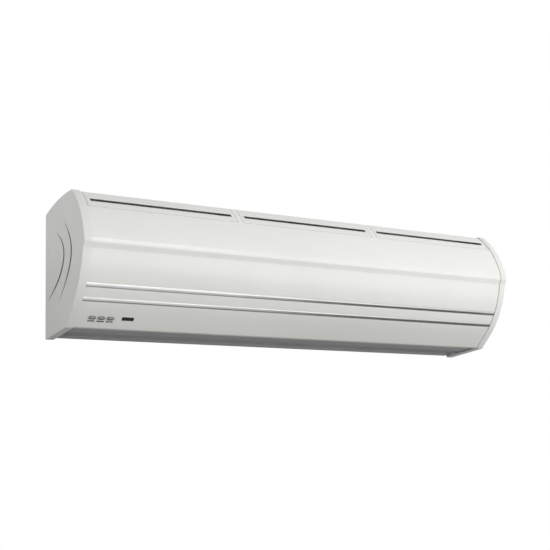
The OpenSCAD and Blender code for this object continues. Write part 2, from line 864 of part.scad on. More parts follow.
module bearing() {
    x = end_plate_x - sheet_t / 2;
    color("goldenrod") difference() {
        rod(fan_axis, x - bearing_l / 2, x + bearing_l / 2, bearing_r);
        rod(fan_axis, x - bearing_l, x + bearing_l, stub_dia / 2 + run_fit);
    }
}

// Rubber seats that grip the end plates round each bearing
module bearing_seats() {
    mid = end_plate_x - sheet_t / 2;
    for (side = [0, 1]) mirror_if(side == 1) color("black") difference() {
        union() {
            rod(fan_axis, mid - bearing_l / 2, end_plate_x - sheet_t - run_fit, seat_r);
            rod(fan_axis, mid - bearing_l / 2, mid - bearing_l / 2 + seat_l, seat_neck_r - run_fit);
            rod(fan_axis, end_plate_x + run_fit, mid - bearing_l / 2 + seat_l, seat_r);
        }
        rod(fan_axis, mid - bearing_l, mid + bearing_l, bearing_r + run_fit);
    }
}

// ---------- outlet ----------

frame_x = seam_x - frame_end_gap;
frame_wall_t = 2;
slot_x = frame_x - frame_wall_t;
slot_front_d = slot_back_d + slot_w;
vane_d = [for (i = [1, 0, -1]) slot_back_d + slot_w / 2 + i * vane_pitch];
// Height of the vanes' pivots
vane_h = sole_h(slot_back_d + slot_w / 2, sole_recess) + vane_rise + vane_chord / 2;
pin_r = vane_pin_dia / 2;
frame_lip_d = toe_d - toe_lip;

module outlet_frame() {
    color("dimgray") difference() {
        union() {
            // face plate, from the wall to the casing's lip
            lengthwise(-frame_x, frame_x) intersection() {
                difference() {
                    section(sole_recess);
                    section(sole_recess + frame_t);
                }
                translate([seat_gap, 0]) square([frame_lip_d - 2 * seat_gap, plate_foot_h]);
            }
            // flange that lies on the casing's lip
            block([-frame_x, frame_x], [frame_lip_d - hem_w, frame_lip_d + lip_cover],
                [lip_top_h + seat_gap, lip_top_h + hem_t]);
            block([-frame_x, frame_x], [frame_lip_d - hem_w, frame_lip_d - seat_gap],
                from(sole_h(frame_lip_d, sole_recess) + 1, frame_t + 0.5));
            // walls round the slot; the scroll and the tongue stand on them
            for (d = [slot_back_d - frame_wall_t, slot_front_d])
                block([-frame_x, frame_x], from(d, frame_wall_t), [sole_h(d, sole_recess) + 1, frame_top_h]);
            for (x = [-frame_x, slot_x]) lengthwise(x, x + frame_wall_t) end_wall_section();
            // stiffening ribs on the apron
            for (k = [-5:5]) block(about(k * frame_x / 6, rib_t), [slot_front_d + 1, frame_lip_d - 3],
                [sole_h(slot_front_d, sole_recess) + 1, tray_h]);
        }
        lengthwise(-slot_x, slot_x) translate([slot_back_d, -past])
            square([slot_w, vane_h]);
        for (d = vane_d) rod([d, vane_h], -frame_x - past, frame_x + past, bush_r + run_fit);
    }
}

// Top of the casing's lip, and the hem that lies on it
lip_top_h = sole_h(frame_lip_d, cap_proud) + casing_t + 0.2;
lip_cover = 5;
hem_w = 4;
hem_t = 2;
rib_t = 2;
module end_wall_section() {
    rear = slot_back_d - frame_wall_t;
    front = slot_front_d + frame_wall_t;
    polygon([
        [rear, sole_h(0, sole_recess) + 1], [front, sole_h(slot_front_d, sole_recess) + 1],
        [front, frame_top_h], [rear, frame_top_h]
    ]);
}

// Carrier: its thickness, its height, the drop of its foot and its bushes' radius
carrier_t = 3.5;
carrier_h = 8;
carrier_drop = 0.5;
bush_r = pin_r + 1 - run_fit;

// White carriers outside the slot's ends, with a bush for each vane's pin
module vane_carriers() {
    mid = vane_d[1];
    for (side = [0, 1]) mirror_if(side == 1) color("ivory") difference() {
        union() {
            block(from(frame_x, carrier_t), about(mid, 2 * vane_pitch + carrier_h), about(vane_h, carrier_h));
            block(from(frame_x, carrier_t), [mid - vane_pitch - carrier_h / 2, mid + 1],
                [sole_h(mid, sole_recess) - carrier_drop, vane_h]);
            for (d = vane_d) rod([d, vane_h], slot_x, frame_x + 1, bush_r);
        }
        for (d = vane_d) rod([d, vane_h], slot_x - past, frame_x + carrier_t + past, pin_r + run_fit);
    }
}

link_x = -link_off;
link_pin_r = link_pin_dia / 2;
// Link bar: its thickness and the wall round its pins; a vane's lug beside it
link_t = 2;
link_wall = 1.3;
lug_wall = 1.2;
lug_w = 3.6;
lug_t = 2.3;
lug_gap = 0.2;
// Blunt edge that is cut off a vane's two thin edges
vane_blunt = 0.8;

// A vane about its pivot at p: a slat with rounded faces, two pins and a lug for the link
module vane(p) {
    bulge = (vane_chord * vane_chord / 4 + vane_t * vane_t / 4) / vane_t;
    lug_x = link_x - link_t / 2 - lug_gap;
    color("dimgray") {
        lengthwise(-slot_x + seat_gap, slot_x - seat_gap) translate(p) intersection() {
            translate([bulge - vane_t / 2, 0]) circle(r = bulge, $fn = 180);
            translate([vane_t / 2 - bulge, 0]) circle(r = bulge, $fn = 180);
            square([vane_t, vane_chord - vane_blunt], center = true);
        }
        rod(p, -frame_x - carrier_t + 0.5, frame_x + carrier_t - 0.5, pin_r);
        lengthwise(lug_x - lug_t, lug_x) translate(p) {
            translate([-lug_w / 2, 0]) square([lug_w, link_arm]);
            translate([0, link_arm]) circle(r = link_pin_r + lug_wall);
        }
        rod(p + [0, link_arm], lug_x - 0.8, link_x + link_t / 2 + 1.5, link_pin_r);
    }
}

// Link bar on the vanes' upper pins, so that they turn together
module vane_link() {
    h = vane_h + link_arm;
    ring_r = link_pin_r + link_wall;
    color("dimgray") lengthwise(link_x - link_t / 2, link_x + link_t / 2) difference() {
        union() {
            translate([vane_d[2], h - ring_r]) square([vane_d[0] - vane_d[2], 2 * ring_r]);
            for (d = [vane_d[0], vane_d[2]]) translate([d, h]) circle(r = ring_r);
        }
        for (d = vane_d) translate([d, h]) circle(r = link_pin_r + run_fit);
    }
}

// ---------- buttons and board ----------

key_reach = (button_l - button_w) / 2;
flange_rim = 0.9;
flange_top = -casing_t - seat_gap;
flange_l = 1.5;
well_gap = 0.15;
// Margins of the board at its two ends, and half the width of the moulded block
board_margin = 15;
board_margin_r = 8;
board_x0 = button_x[0] - board_margin;
board_x1 = window_x + window_l / 2 + board_margin_r;
board_half_w = 10.5;
// Switch under a button, and the button's stem on it
switch_w = 6;
switch_h = 3;
switch_r = 1.7;
switch_top = -board_depth + 4;
stem_r = 2;
stem_gap = 0.1;
window_rim = 1.5;
window_sink = 0.2;
window_bay = 2;
// Infrared receiver behind the window
receiver_l = 6;
receiver_w = 5;

// A button's outline, grown by m: straight sides with a round at each end
module key_outline(m) {
    square([2 * key_reach, button_w + 2 * m], center = true);
    for (s = [-1, 1]) translate([s * key_reach, 0]) circle(r = button_w / 2 + m);
}

// Radius of a dome's curve over a length l
function crown_r(l) = (l * l / 4 + dome_h * dome_h) / (2 * dome_h);

// Moulded block between the panel and the board, with a well for each button
module button_housing() {
    color("white") difference() {
        on_panel(0, button_up) translate([board_x0, -board_half_w, -board_depth])
            cube([board_x1 - board_x0, 2 * board_half_w, board_depth - casing_t]);
        for (x = button_x) on_panel(x, button_up)
            translate([0, 0, -2 * board_depth]) linear_extrude(3 * board_depth) key_outline(flange_rim + well_gap);
        on_panel(window_x, button_up)
            translate([-window_l / 2 - window_bay, -window_w / 2 - window_bay, -2 * board_depth])
                cube([window_l + 2 * window_bay, window_w + 2 * window_bay, 3 * board_depth]);
    }
}

module button(i) {
    color("silver") on_panel(button_x[i], button_up) {
        translate([0, 0, flange_top - flange_l]) linear_extrude(flange_l) key_outline(flange_rim);
        translate([0, 0, flange_top - flange_l])
            linear_extrude(button_proud - flange_top + flange_l) key_outline(0);
        translate([0, 0, switch_top + button_travel + stem_gap])
            cylinder(h = flange_top - switch_top - button_travel, r = stem_r);
        translate([0, 0, button_proud]) intersection() {
            linear_extrude(dome_h) key_outline(0);
            translate([0, 0, dome_h - crown_r(button_w)]) rotate([0, 90, 0])
                cylinder(h = 2 * button_l, r = crown_r(button_w), center = true, $fn = 96);
            translate([0, 0, dome_h - crown_r(button_l)]) rotate([90, 0, 0])
                cylinder(h = 2 * button_w, r = crown_r(button_l), center = true, $fn = 192);
        }
    }
}

module control_board() {
    color("green") on_panel(0, button_up)
        translate([board_x0, -board_half_w - window_bay, -board_depth - board_t])
            cube([board_x1 - board_x0, 2 * (board_half_w + window_bay), board_t]);
}

module button_switches() {
    color("black") for (x = button_x) on_panel(x, button_up) {
        translate([-switch_w / 2, -switch_w / 2, -board_depth]) cube([switch_w, switch_w, switch_h]);
        translate([0, 0, -board_depth]) cylinder(h = switch_top + board_depth, r = switch_r);
    }
}

module receiver() {
    color("black") on_panel(window_x, button_up)
        translate([-receiver_l / 2, -receiver_w / 2, -board_depth])
            cube([receiver_l, receiver_w, board_depth - casing_t - window_rim - seat_gap]);
}

module receiver_window() {
    gap = window_fit;
    color("black") on_panel(window_x, button_up) {
        translate([-window_l / 2 + gap, -window_w / 2 + gap, -casing_t - window_rim])
            cube([window_l - 2 * gap, window_w - 2 * gap, casing_t + window_rim - window_sink]);
        translate([-window_l / 2 - window_rim, -window_w / 2 - window_rim, -casing_t - window_rim])
            cube([window_l + 2 * window_rim, window_w + 2 * window_rim, window_rim]);
    }
}

// ---------- wiring pieces ----------

cable_x = -wall_plate_l / 2 - cable_off;
grommet_neck_r = cable_dia / 2 + 2.5;
grommet_r = cable_dia / 2 + 5.5;
grommet_t = 1.5;

module cable_grommet() {
    color("black") translate([cable_x, -chassis_gap, cable_h]) rotate([-90, 0, 0]) difference() {
        union() {
            translate([0, 0, run_fit]) cylinder(h = grommet_t, r = grommet_r);
            translate([0, 0, -sheet_t - grommet_t])
                cylinder(h = sheet_t + 2 * grommet_t, r = grommet_neck_r - run_fit);
            translate([0, 0, -sheet_t - run_fit - grommet_t]) cylinder(h = grommet_t, r = grommet_r);
        }
        translate([0, 0, -cable_dia]) cylinder(h = 2 * cable_dia, r = cable_dia / 2);
    }
}

tray_x = [-tray_off - tray_l / 2, -tray_off + tray_l / 2];
tray_h = sole_h(slot_front_d, sole_recess) + tray_rise;
tray_depth = [slot_front_d + 4, frame_lip_d - 5];
tray_hem = 9;

// Steel shelf on the apron's ribs, with a turned-up front edge
module electrics_tray() {
    color("silver") {
        block(tray_x, tray_depth, from(tray_h, sheet_t));
        block(tray_x, [tray_depth[1] - sheet_t, tray_depth[1]], from(tray_h, tray_hem));
    }
}

// Motor capacitor: its length, depth and height, its place on the shelf and its two pins
capacitor_box = [42, 20, 28];
capacitor_off = 12;
capacitor_at = [tray_x[0] + capacitor_off, tray_depth[0] + 5];
capacitor_pins = [14, 28];
module run_capacitor() {
    x = capacitor_at[0];
    d = capacitor_at[1];
    top = tray_h + sheet_t + capacitor_box.z;
    color("ivory") {
        block(from(x, capacitor_box.x), from(d, capacitor_box.y), [tray_h + sheet_t, top]);
        for (k = capacitor_pins) translate([x + k, -d - capacitor_box.y / 2, top])
            cylinder(h = 5, r = 1.5, $fn = 24);
    }
}

// Sheet clamp over the middle of the capacitor
clamp_w = 8;
clamp_t = 0.8;
module capacitor_clamp() {
    x = from(capacitor_at[0] + (capacitor_box.x - clamp_w) / 2, clamp_w);
    near = capacitor_at[1];
    far = near + capacitor_box.y;
    h = tray_h + sheet_t;
    top = h + capacitor_box.z;
    color("silver") {
        block(x, [near - clamp_t, near], [h, top + clamp_t]);
        block(x, [far, far + clamp_t], [h, top + clamp_t]);
        block(x, [near, far], from(top, clamp_t));
    }
}

// Terminal block: its poles, their pitch, its depth and height
poles = 5;
pole_pitch = 10;
terminal_d = 18;
terminal_h = 15;
terminal_off = 80;
terminal_set_in = 6;
terminal_at = [tray_x[0] + terminal_off, tray_depth[0] + terminal_set_in];
// Its screw wells, and the notch between two poles
terminal_well_r = 2.6;
terminal_well_depth = 6;
terminal_notch_w = 1;
terminal_notch_depth = 11;
module terminal_block() {
    x0 = terminal_at[0];
    d = terminal_at[1];
    h = tray_h + sheet_t;
    color("white") difference() {
        block(from(x0, poles * pole_pitch), from(d, terminal_d), from(h, terminal_h));
        for (k = [0:poles - 1]) {
            // two screw wells a pole, and a notch between two poles
            for (e = [0.25, 0.75] * terminal_d)
                translate([x0 + (k + 0.5) * pole_pitch, -d - e, h + terminal_h - terminal_well_depth])
                    cylinder(h = terminal_h, r = terminal_well_r, $fn = 24);
            if (k > 0) block(about(x0 + k * pole_pitch, terminal_notch_w),
                [d - past, d + terminal_d + past], [h + terminal_h - terminal_notch_depth,
                h + terminal_h + past]);
        }
    }
}

// ---------- the pieces ----------

hang() wall_plate();
hang() back_chassis();
hang() chassis_screws();
hang() front_panel();
hang() casing_screws();
hang() intake_grille(0);  // intake_grille_left
hang() intake_grille(1);  // intake_grille_centre
hang() intake_grille(2);  // intake_grille_right
hang() trim_strip(trim_upper_h);  // trim_upper
hang() trim_strip(trim_lower_h);  // trim_lower
hang() mirror_if(true) end_cap();  // end_cap_left
hang() mirror_if(false) end_cap();  // end_cap_right
hang() cap_screws();
hang() mirror_if(true) end_plate();  // end_plate_left
hang() mirror_if(false) end_plate();  // end_plate_right
hang() mirror_if(true) scroll();  // scroll_left
hang() mirror_if(false) scroll();  // scroll_right
hang() mirror_if(true) tongue();  // tongue_left
hang() mirror_if(false) tongue();  // tongue_right
hang() motor_housing();
hang() motor_rings();
hang() motor_cradle();
hang() motor_straps();
hang() motor_shaft();
hang() mirror_if(true) impeller();  // impeller_left
hang() mirror_if(false) impeller();  // impeller_right
hang() hub_screws();
hang() mirror_if(true) bearing();  // bearing_left
hang() mirror_if(false) bearing();  // bearing_right
hang() bearing_seats();
hang() outlet_frame();
hang() vane_carriers();
hang() vane([vane_d[0], vane_h]);  // vane_front
hang() vane([vane_d[1], vane_h]);  // vane_middle
hang() vane([vane_d[2], vane_h]);  // vane_rear
hang() vane_link();
hang() button_housing();
hang() button(0);  // button_off
hang() button(1);  // button_low
hang() button(2);  // button_high
hang() control_board();
hang() button_switches();
hang() receiver();
hang() receiver_window();
hang() electrics_tray();
hang() run_capacitor();
hang() capacitor_clamp();
hang() terminal_block();
hang() cable_grommet();
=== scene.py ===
import math

import bmesh
import bpy
from mathutils import Matrix, Vector
from mathutils.geometry import interpolate_bezier, intersect_line_sphere_2d, intersect_sphere_sphere_2d


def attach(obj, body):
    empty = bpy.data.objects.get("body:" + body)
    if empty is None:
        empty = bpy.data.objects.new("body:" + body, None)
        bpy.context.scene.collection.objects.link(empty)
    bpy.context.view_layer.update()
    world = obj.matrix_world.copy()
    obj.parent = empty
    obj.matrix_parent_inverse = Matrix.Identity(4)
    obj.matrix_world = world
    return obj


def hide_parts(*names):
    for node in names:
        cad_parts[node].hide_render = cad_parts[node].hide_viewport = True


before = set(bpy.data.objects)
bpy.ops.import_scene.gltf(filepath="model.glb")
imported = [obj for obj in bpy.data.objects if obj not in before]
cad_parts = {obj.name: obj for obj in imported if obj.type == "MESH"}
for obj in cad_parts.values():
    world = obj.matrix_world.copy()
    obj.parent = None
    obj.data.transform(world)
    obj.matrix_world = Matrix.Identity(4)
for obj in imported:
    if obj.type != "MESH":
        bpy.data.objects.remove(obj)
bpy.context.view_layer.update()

# ---------- sizes, in metres ----------

MM = 0.001
MOUNT_HEIGHT = 125 * MM        # origin over the bottom back edge
HALF_LENGTH = 450 * MM
CAP_WIDTH = 14 * MM
CAP_WALL = 2.5 * MM
CAP_PROUD = 1.5 * MM
CASING_WALL = 2.5 * MM
SEAM = 0.4 * MM
CAP_SEAM_X = HALF_LENGTH - CAP_WIDTH

# corners of the cap's side view as (depth, height)
BACK_TOP = Vector((0, 223)) * MM
PEAK = Vector((132, 233.5)) * MM
BROW_TOP = Vector((189.5, 139)) * MM
BROW = Vector((189.5, 131)) * MM
LEDGE = Vector((183.7, 122)) * MM
CHIN = Vector((128, 28.5)) * MM
TOE = Vector((99.7, 4.5)) * MM
TOP_RADIUS = 391 * MM
UPPER_RADIUS = 160 * MM
LOWER_RADIUS = 168 * MM
CASING_LIP_DEPTH = 90.7 * MM
ARC_STEPS = {"top": 20, "upper": 26, "lower": 30}
CASING_EDGES = {               # width and steps of each softened long edge
    "peak": (7 * MM, 8),
    "brow_top": (1.5 * MM, 3),
    "brow": (1.6 * MM, 5),
    "ledge": (2.2 * MM, 5),
    "toe": (1.4 * MM, 5),
}
CAP_EDGES = {                  # width of each softened edge
    "back_top": 1.6 * MM,
    "back_bottom": 1.6 * MM,
    "peak": 1.0 * MM,
    "brow": 1.2 * MM,
    "toe": 1.3 * MM,
}
PEAK_ZONE = 10 * MM            # how far behind the peak the front's faces still count as front

GRILLE_LENGTH = 282 * MM
GRILLE_STARTS = [-433 * MM, -141 * MM, 151 * MM]
GRILLE_FRONT_HEIGHT = 198 * MM
GRILLE_BACK_DEPTH = 40 * MM
GRILLE_SEAM = 0.8 * MM
GRILLE_RIM = 1.4 * MM
GRILLE_DEPTH = 3.9 * MM
GRILLE_SEAT = 4 * MM
GRILLE_BAR_INSET = 4.3 * MM
GRILLE_BAR_REACH = 0.2 * MM    # slack for finding the bars' inner faces
GRILLE_EDGE = 0.25 * MM
SEAT_DROP = 1.7 * MM
SLOT_BORDER = 8 * MM
SLOT_RIB = 2.5 * MM
SLOT_BAY = (GRILLE_LENGTH - 2 * SLOT_BORDER - 3 * SLOT_RIB) / 4
FRONT_SLOT = (209.8 * MM, 215.2 * MM)
FRONT_SLOT_RELIEF = 3.5 * MM   # thin rim left over and under the slot
TOP_SLOT_START = 51.3 * MM
TOP_SLOT_WIDTH = 3.8 * MM
TOP_SLOT_PITCH = 8 * MM
TOP_SLOTS = 8

TRIM_HEIGHTS = {"upper": 65.5 * MM, "lower": 44.5 * MM}
TRIM_WIDTH = 8 * MM
TRIM_PROUD = 1.3 * MM
TRIM_SEAT = 0.9 * MM
TRIM_RADIUS = 6 * MM
TRIM_FIT = 0.15 * MM
TRIM_STEPS = 14
TRIM_CUT_REACH = 14 * MM       # the faces that a trim's groove is cut out of
TRIM_BAND_REACH = 9 * MM       # the faces that are sunk
TRIM_EDGE = 0.5 * MM

CRESCENTS = [                  # control points in mm
    [(91, 190.5), (162, 127.5), (126, 100.5), (68, 50.5)],
    [(52, 179), (143, 131), (69, 83), (11, 64)],
]
CRESCENT_WIDTH = 5.5 * MM
CRESCENT_DEPTH = 3 * MM
CRESCENT_WALL = 1.5 * MM
CRESCENT_STEPS = 24
CRESCENT_TIP = 0.03            # share of the full width at its ends
CAP_RIM_RADIUS = 1.3 * MM
CAP_BOSSES = [(30, 40), (30, 190), (135, 60)]    # in mm
BOSS_RADIUS = 4.5 * MM
BOSS_BORE = 1.75 * MM
BOSS_FOOT_X = 433 * MM
CASING_SCREW_X = [-300 * MM, 0, 300 * MM]
CASING_SCREW_DEPTH = 4.5 * MM
SCREW_RADIUS = 1.6 * MM
SCREW_TIP = 0.6                # width of its tip, as a share of the shank's
SCREW_LENGTH = 7 * MM
SCREW_HEAD_RADIUS = 3.2 * MM
SCREW_HEAD_RIM = 0.8 * MM
SCREW_HEAD_DOME = 0.8 * MM
SCREW_RECESS = (3.4 * MM, 0.7 * MM, 1.1 * MM)    # length, width and depth of its cross
SCREW_FIT = 0.15 * MM
SCREW_HEAD_BORE = (220 * MM, 230 * MM)
SCREW_SHANK_BORE = (210 * MM, 221 * MM)
CASING_TAB_WIDTH = 16 * MM
CASING_TAB_DEPTH = 8 * MM
CASING_TAB_HEIGHT = 216.2 * MM

BUTTON_UP = 23.5 * MM
BUTTON_RADIUS = 3 * MM         # of its two round ends
BUTTON_REACH = 3 * MM          # from its middle to the centre of a round end
BUTTON_FIT = 0.15 * MM
BUTTON_PROUD = 1.4 * MM
BUTTON_DOME = 1.8 * MM
BUTTON_FLANGE_TOP = 2.8 * MM
BUTTON_FLANGE_END = 4.3 * MM
BUTTON_FLANGE_RADIUS = 3.9 * MM
BUTTON_STEM_RADIUS = 2 * MM
BUTTON_STEM_END = -5.9 * MM
BUTTON_EDGE = 0.5 * MM
BUTTON_X = {"off": -409.1 * MM, "low": -392.8 * MM, "high": -376.5 * MM}
WINDOW_X = -345.6 * MM
WINDOW_LENGTH = 21.7 * MM
WINDOW_WIDTH = 8 * MM
WINDOW_FIT = 0.1 * MM
WINDOW_BACK = 4 * MM
WINDOW_SINK = 0.2 * MM
WINDOW_FLANGE = 1.5 * MM
WINDOW_EDGE = 0.5 * MM
WINDOW_INSET = 0.7 * MM
WINDOW_HOLLOW = 0.12 * MM
PANEL_CUT = 14 * MM            # length of a cutter through the button panel
MARKS = {"off": "OFF", "low": "1", "high": "2"}
MARK_HEIGHT = 3.2 * MM
MARK_LENGTH = 12 * MM
MARK_GAP = 0.5 * MM
MARK_DROP = 7.8 * MM
MARK_LIFT = 0.05 * MM
MARK_BOLDNESS = 0.085          # swelling of the letters, as a share of their height
MARK_SPACING = 1.2
MARK_DASH = 0.75               # width of a dash, as a share of the letters' height
OUTLET_EDGE = 0.3 * MM

FLOOR_Z = -2.3
FLOOR_RADIUS = 14
FLOOR_GLOW = 0.8               # how far the floor is lifted to white where it is seen directly
FLOOR_MIRRORED = 0.62          # the same where it is mirrored
ROOM_LIGHT = 0.30
FLAG_LIFT = 0.05               # height of the cards' lower edges over the floor
FLAGS = {                      # middle, size and tilt of each card
    "flag_right": ((3.3, -2.0), (4.0, 4.2), 0),
    "flag_back": ((0.0, 1.6), (8.0, 3.0), 0),
    "flag_wall": ((0.0, 0.6), (6.0, 2.4), 90),
}
LAMPS = {                      # place, target, size and power
    "key": ((1.1, -2.5, 0.65), (0, 0, 0), (2.4, 1.4), 56),
    "side_fill": ((-2.5, -0.9, -0.25), (-0.45, -0.1, 0), (1.8, 1.8), 20),
    "low_fill": ((1.7, -1.1, -1.5), (0.3, -0.1, 0), (1.0, 1.0), 10),
    "sheen": ((0.9, -2.4, -0.9), (0, 0, 0), (2.6, 0.7), 7.5),
    "ridge": ((0.2, -2.4, 0.7), (0, 0, 0), (1.6, 0.15), 6),
}
GLOSS_LAMPS = ("sheen", "ridge")    # they show only where they are mirrored
CAMERA_PLACE = (-1.047, -1.773, -0.432)
CAMERA_ANGLES = (30.98, 12.45, 2.51)    # yaw, pitch and roll in degrees
CAMERA_LENS = 70.234

# ---------- the side view ----------


def arc_centre(start, end, radius):
    """Centre of the arc that runs clockwise from start to end in the side view."""
    chord = end - start
    half = chord.length / 2
    off = Vector((chord.y, -chord.x)) / chord.length
    return (start + end) / 2 + off * math.sqrt(radius ** 2 - half ** 2)


TOP_CENTRE = arc_centre(BACK_TOP, PEAK, TOP_RADIUS)
UPPER_CENTRE = arc_centre(PEAK, BROW_TOP, UPPER_RADIUS)
LOWER_CENTRE = arc_centre(LEDGE, CHIN, LOWER_RADIUS)
PANEL_DIR = (CHIN - TOE).normalized()
PANEL_OUT = Vector((PANEL_DIR.y, -PANEL_DIR.x))
SOLE_DIR = TOE.normalized()
SOLE_UP = Vector((-SOLE_DIR.y, SOLE_DIR.x))
STEP_DIR = (BROW - LEDGE).normalized()


def at(point, x=0.0):
    """The point (depth, height) of the side view, in the row frame."""
    return Vector((x, -point[0], point[1] - MOUNT_HEIGHT))


def heading(direction):
    """A direction of the side view, in the row frame."""
    return Vector((0, -direction[0], direction[1]))


def outermost(points):
    """The crossing that lies farthest forward and up."""
    return max((p for p in points if p is not None), key=lambda p: p.x + p.y)


def corners(inset):
    """The side view's corners, drawn in by inset."""
    top = TOP_RADIUS - inset
    upper = UPPER_RADIUS - inset
    lower = LOWER_RADIUS - inset
    front = BROW.x - inset
    step_angle = math.atan2(STEP_DIR.x, STEP_DIR.y)
    brow = Vector((front, BROW.y + inset * math.tan(step_angle / 2)))
    turn = math.pi - (math.atan2(PANEL_DIR.y, PANEL_DIR.x) - math.atan2(SOLE_DIR.y, SOLE_DIR.x))
    toe = TOE + SOLE_UP * inset - SOLE_DIR * inset / math.tan(turn / 2)
    lip_height = CASING_LIP_DEPTH * SOLE_DIR.y / SOLE_DIR.x + inset / SOLE_DIR.x
    return {
        "back_top": outermost(intersect_line_sphere_2d(
            Vector((0, -1)), Vector((0, 1)), TOP_CENTRE, top, False)),
        "peak": outermost(intersect_sphere_sphere_2d(TOP_CENTRE, top, UPPER_CENTRE, upper)),
        "brow_top": outermost(intersect_line_sphere_2d(
            Vector((front, -1)), Vector((front, 1)), UPPER_CENTRE, upper, False)),
        "brow": brow,
        "ledge": outermost(intersect_line_sphere_2d(
            brow, brow - STEP_DIR, LOWER_CENTRE, lower, False)),
        "chin": LOWER_CENTRE + (CHIN - LOWER_CENTRE).normalized() * lower,
        "toe": toe,
        "lip": Vector((CASING_LIP_DEPTH, lip_height)),
        "back_bottom": Vector((0, inset / SOLE_DIR.x)),
    }


def lower_point(height, inset):
    """Point and outward heading on the curve under the step, at a height."""
    angle = math.asin((height - LOWER_CENTRE.y) / LOWER_RADIUS)
    out = Vector((math.cos(angle), math.sin(angle)))
    return LOWER_CENTRE + out * (LOWER_RADIUS - inset), out


# ---------- mesh helpers ----------


def straight(bm, vert, point):
    """Draws an edge from vert to a point and returns the new vertex."""
    new = bmesh.ops.extrude_vert_indiv(bm, verts=[vert])["verts"][0]
    new.co = point
    return new


def arc(bm, vert, centre, end, steps):
    """Sweeps vert about a lengthwise axis through centre until it meets end."""
    x = vert.co.x
    start = vert.co - centre
    stop = end - centre
    angle = math.atan2(stop.z, stop.y) - math.atan2(start.z, start.y)
    angle = (angle + math.pi) % (2 * math.pi) - math.pi
    made = bmesh.ops.spin(bm, geom=[vert], cent=centre, axis=(1, 0, 0), angle=angle, steps=steps)
    last = [e for e in made["geom_last"] if isinstance(e, bmesh.types.BMVert)][0]
    last.co = Vector((x, end.y, end.z))
    return last


def outline(bm, inset, x, closed):
    """Draws the side view at x, down to the casing's lip or all round."""
    c = {name: at(p, x) for name, p in corners(inset).items()}
    first = bm.verts.new(c["back_top"])
    vert = arc(bm, first, at(TOP_CENTRE, x), c["peak"], ARC_STEPS["top"])
    vert = arc(bm, vert, at(UPPER_CENTRE, x), c["brow_top"], ARC_STEPS["upper"])
    vert = straight(bm, vert, c["brow"])
    vert = straight(bm, vert, c["ledge"])
    vert = arc(bm, vert, at(LOWER_CENTRE, x), c["chin"], ARC_STEPS["lower"])
    vert = straight(bm, vert, c["toe"])
    if closed:
        vert = straight(bm, vert, c["back_bottom"])
        bm.edges.new((vert, first))
    else:
        straight(bm, vert, c["lip"])


def long_edges_near(bm, point, reach=0.2 * MM):
    """Edges that run lengthwise through a point of the side view."""
    spot = at(point)
    return [
        e for e in bm.edges
        if abs(e.verts[0].co.x - e.verts[1].co.x) > reach
        and all((Vector((0, v.co.y, v.co.z)) - spot).length < reach for v in e.verts)
    ]


def soften(bm, edges, width, segments=4):
    """Rounds edges with a bevel of that width."""
    bmesh.ops.bevel(bm, geom=edges, offset=width, offset_type="OFFSET", affect="EDGES",
                    segments=segments, profile=0.5, material=-1, clamp_overlap=True)


def cut_at(bm, point, normal):
    """Adds a loop of edges where a plane passes through."""
    geom = bm.verts[:] + bm.edges[:] + bm.faces[:]
    bmesh.ops.bisect_plane(bm, geom=geom, dist=1e-6, plane_co=point, plane_no=normal)


def faces_where(bm, test):
    """The faces whose middle passes a test."""
    return [f for f in bm.faces if test(f.calc_center_median())]


def drop_faces(bm, faces):
    bmesh.ops.delete(bm, geom=faces, context="FACES")


def raise_faces(bm, faces):
    """Extrudes faces, takes the old ones away and returns the new vertices, ready to be moved."""
    made = bmesh.ops.extrude_face_region(bm, geom=faces)["geom"]
    drop_faces(bm, faces)
    return [v for v in made if isinstance(v, bmesh.types.BMVert)]


def prism(bm, length):
    """Fills the one closed outline in bm and extrudes it lengthwise into a solid."""
    face = bmesh.ops.contextual_create(bm, geom=bm.edges[:])["faces"][0]
    made = bmesh.ops.extrude_face_region(bm, geom=[face])["geom"]
    ends = [v for v in made if isinstance(v, bmesh.types.BMVert)]
    bmesh.ops.translate(bm, verts=ends, vec=(length, 0, 0))
    bmesh.ops.recalc_face_normals(bm, faces=bm.faces)


def box(bm, place, *size):
    """Adds a rectangular block of that size, centred on a place."""
    bmesh.ops.create_cube(bm, size=1, matrix=place @ Matrix.Diagonal((*size, 1)))


def clean(bm):
    """Closes up edges and faces without size."""
    bmesh.ops.dissolve_degenerate(bm, dist=1e-5, edges=bm.edges)
    bmesh.ops.remove_doubles(bm, verts=bm.verts, dist=5e-6)


def part_of(faces):
    """Faces with their edges and vertices."""
    geom = set(faces)
    for f in faces:
        geom.update(f.edges)
        geom.update(f.verts)
    return list(geom)


def face_outwards(bm):
    """Turns an open sheet so that its front faces look away from the wall."""
    bmesh.ops.recalc_face_normals(bm, faces=bm.faces)
    front = min(bm.faces, key=lambda f: f.calc_center_median().y)
    if front.normal.y > 0:
        bmesh.ops.reverse_faces(bm, faces=bm.faces)


def piece(bm, name, material, smooth_angle=30):
    """Makes an object of a bmesh, smooth except across edges sharper than smooth_angle."""
    mesh = bpy.data.meshes.new(name)
    for f in bm.faces:
        f.smooth = True
    for e in bm.edges:
        if len(e.link_faces) == 2 and e.calc_face_angle(0) > math.radians(smooth_angle):
            e.smooth = False
    bm.to_mesh(mesh)
    bm.free()
    mesh.materials.append(material)
    obj = bpy.data.objects.new(name, mesh)
    bpy.context.scene.collection.objects.link(obj)
    return obj


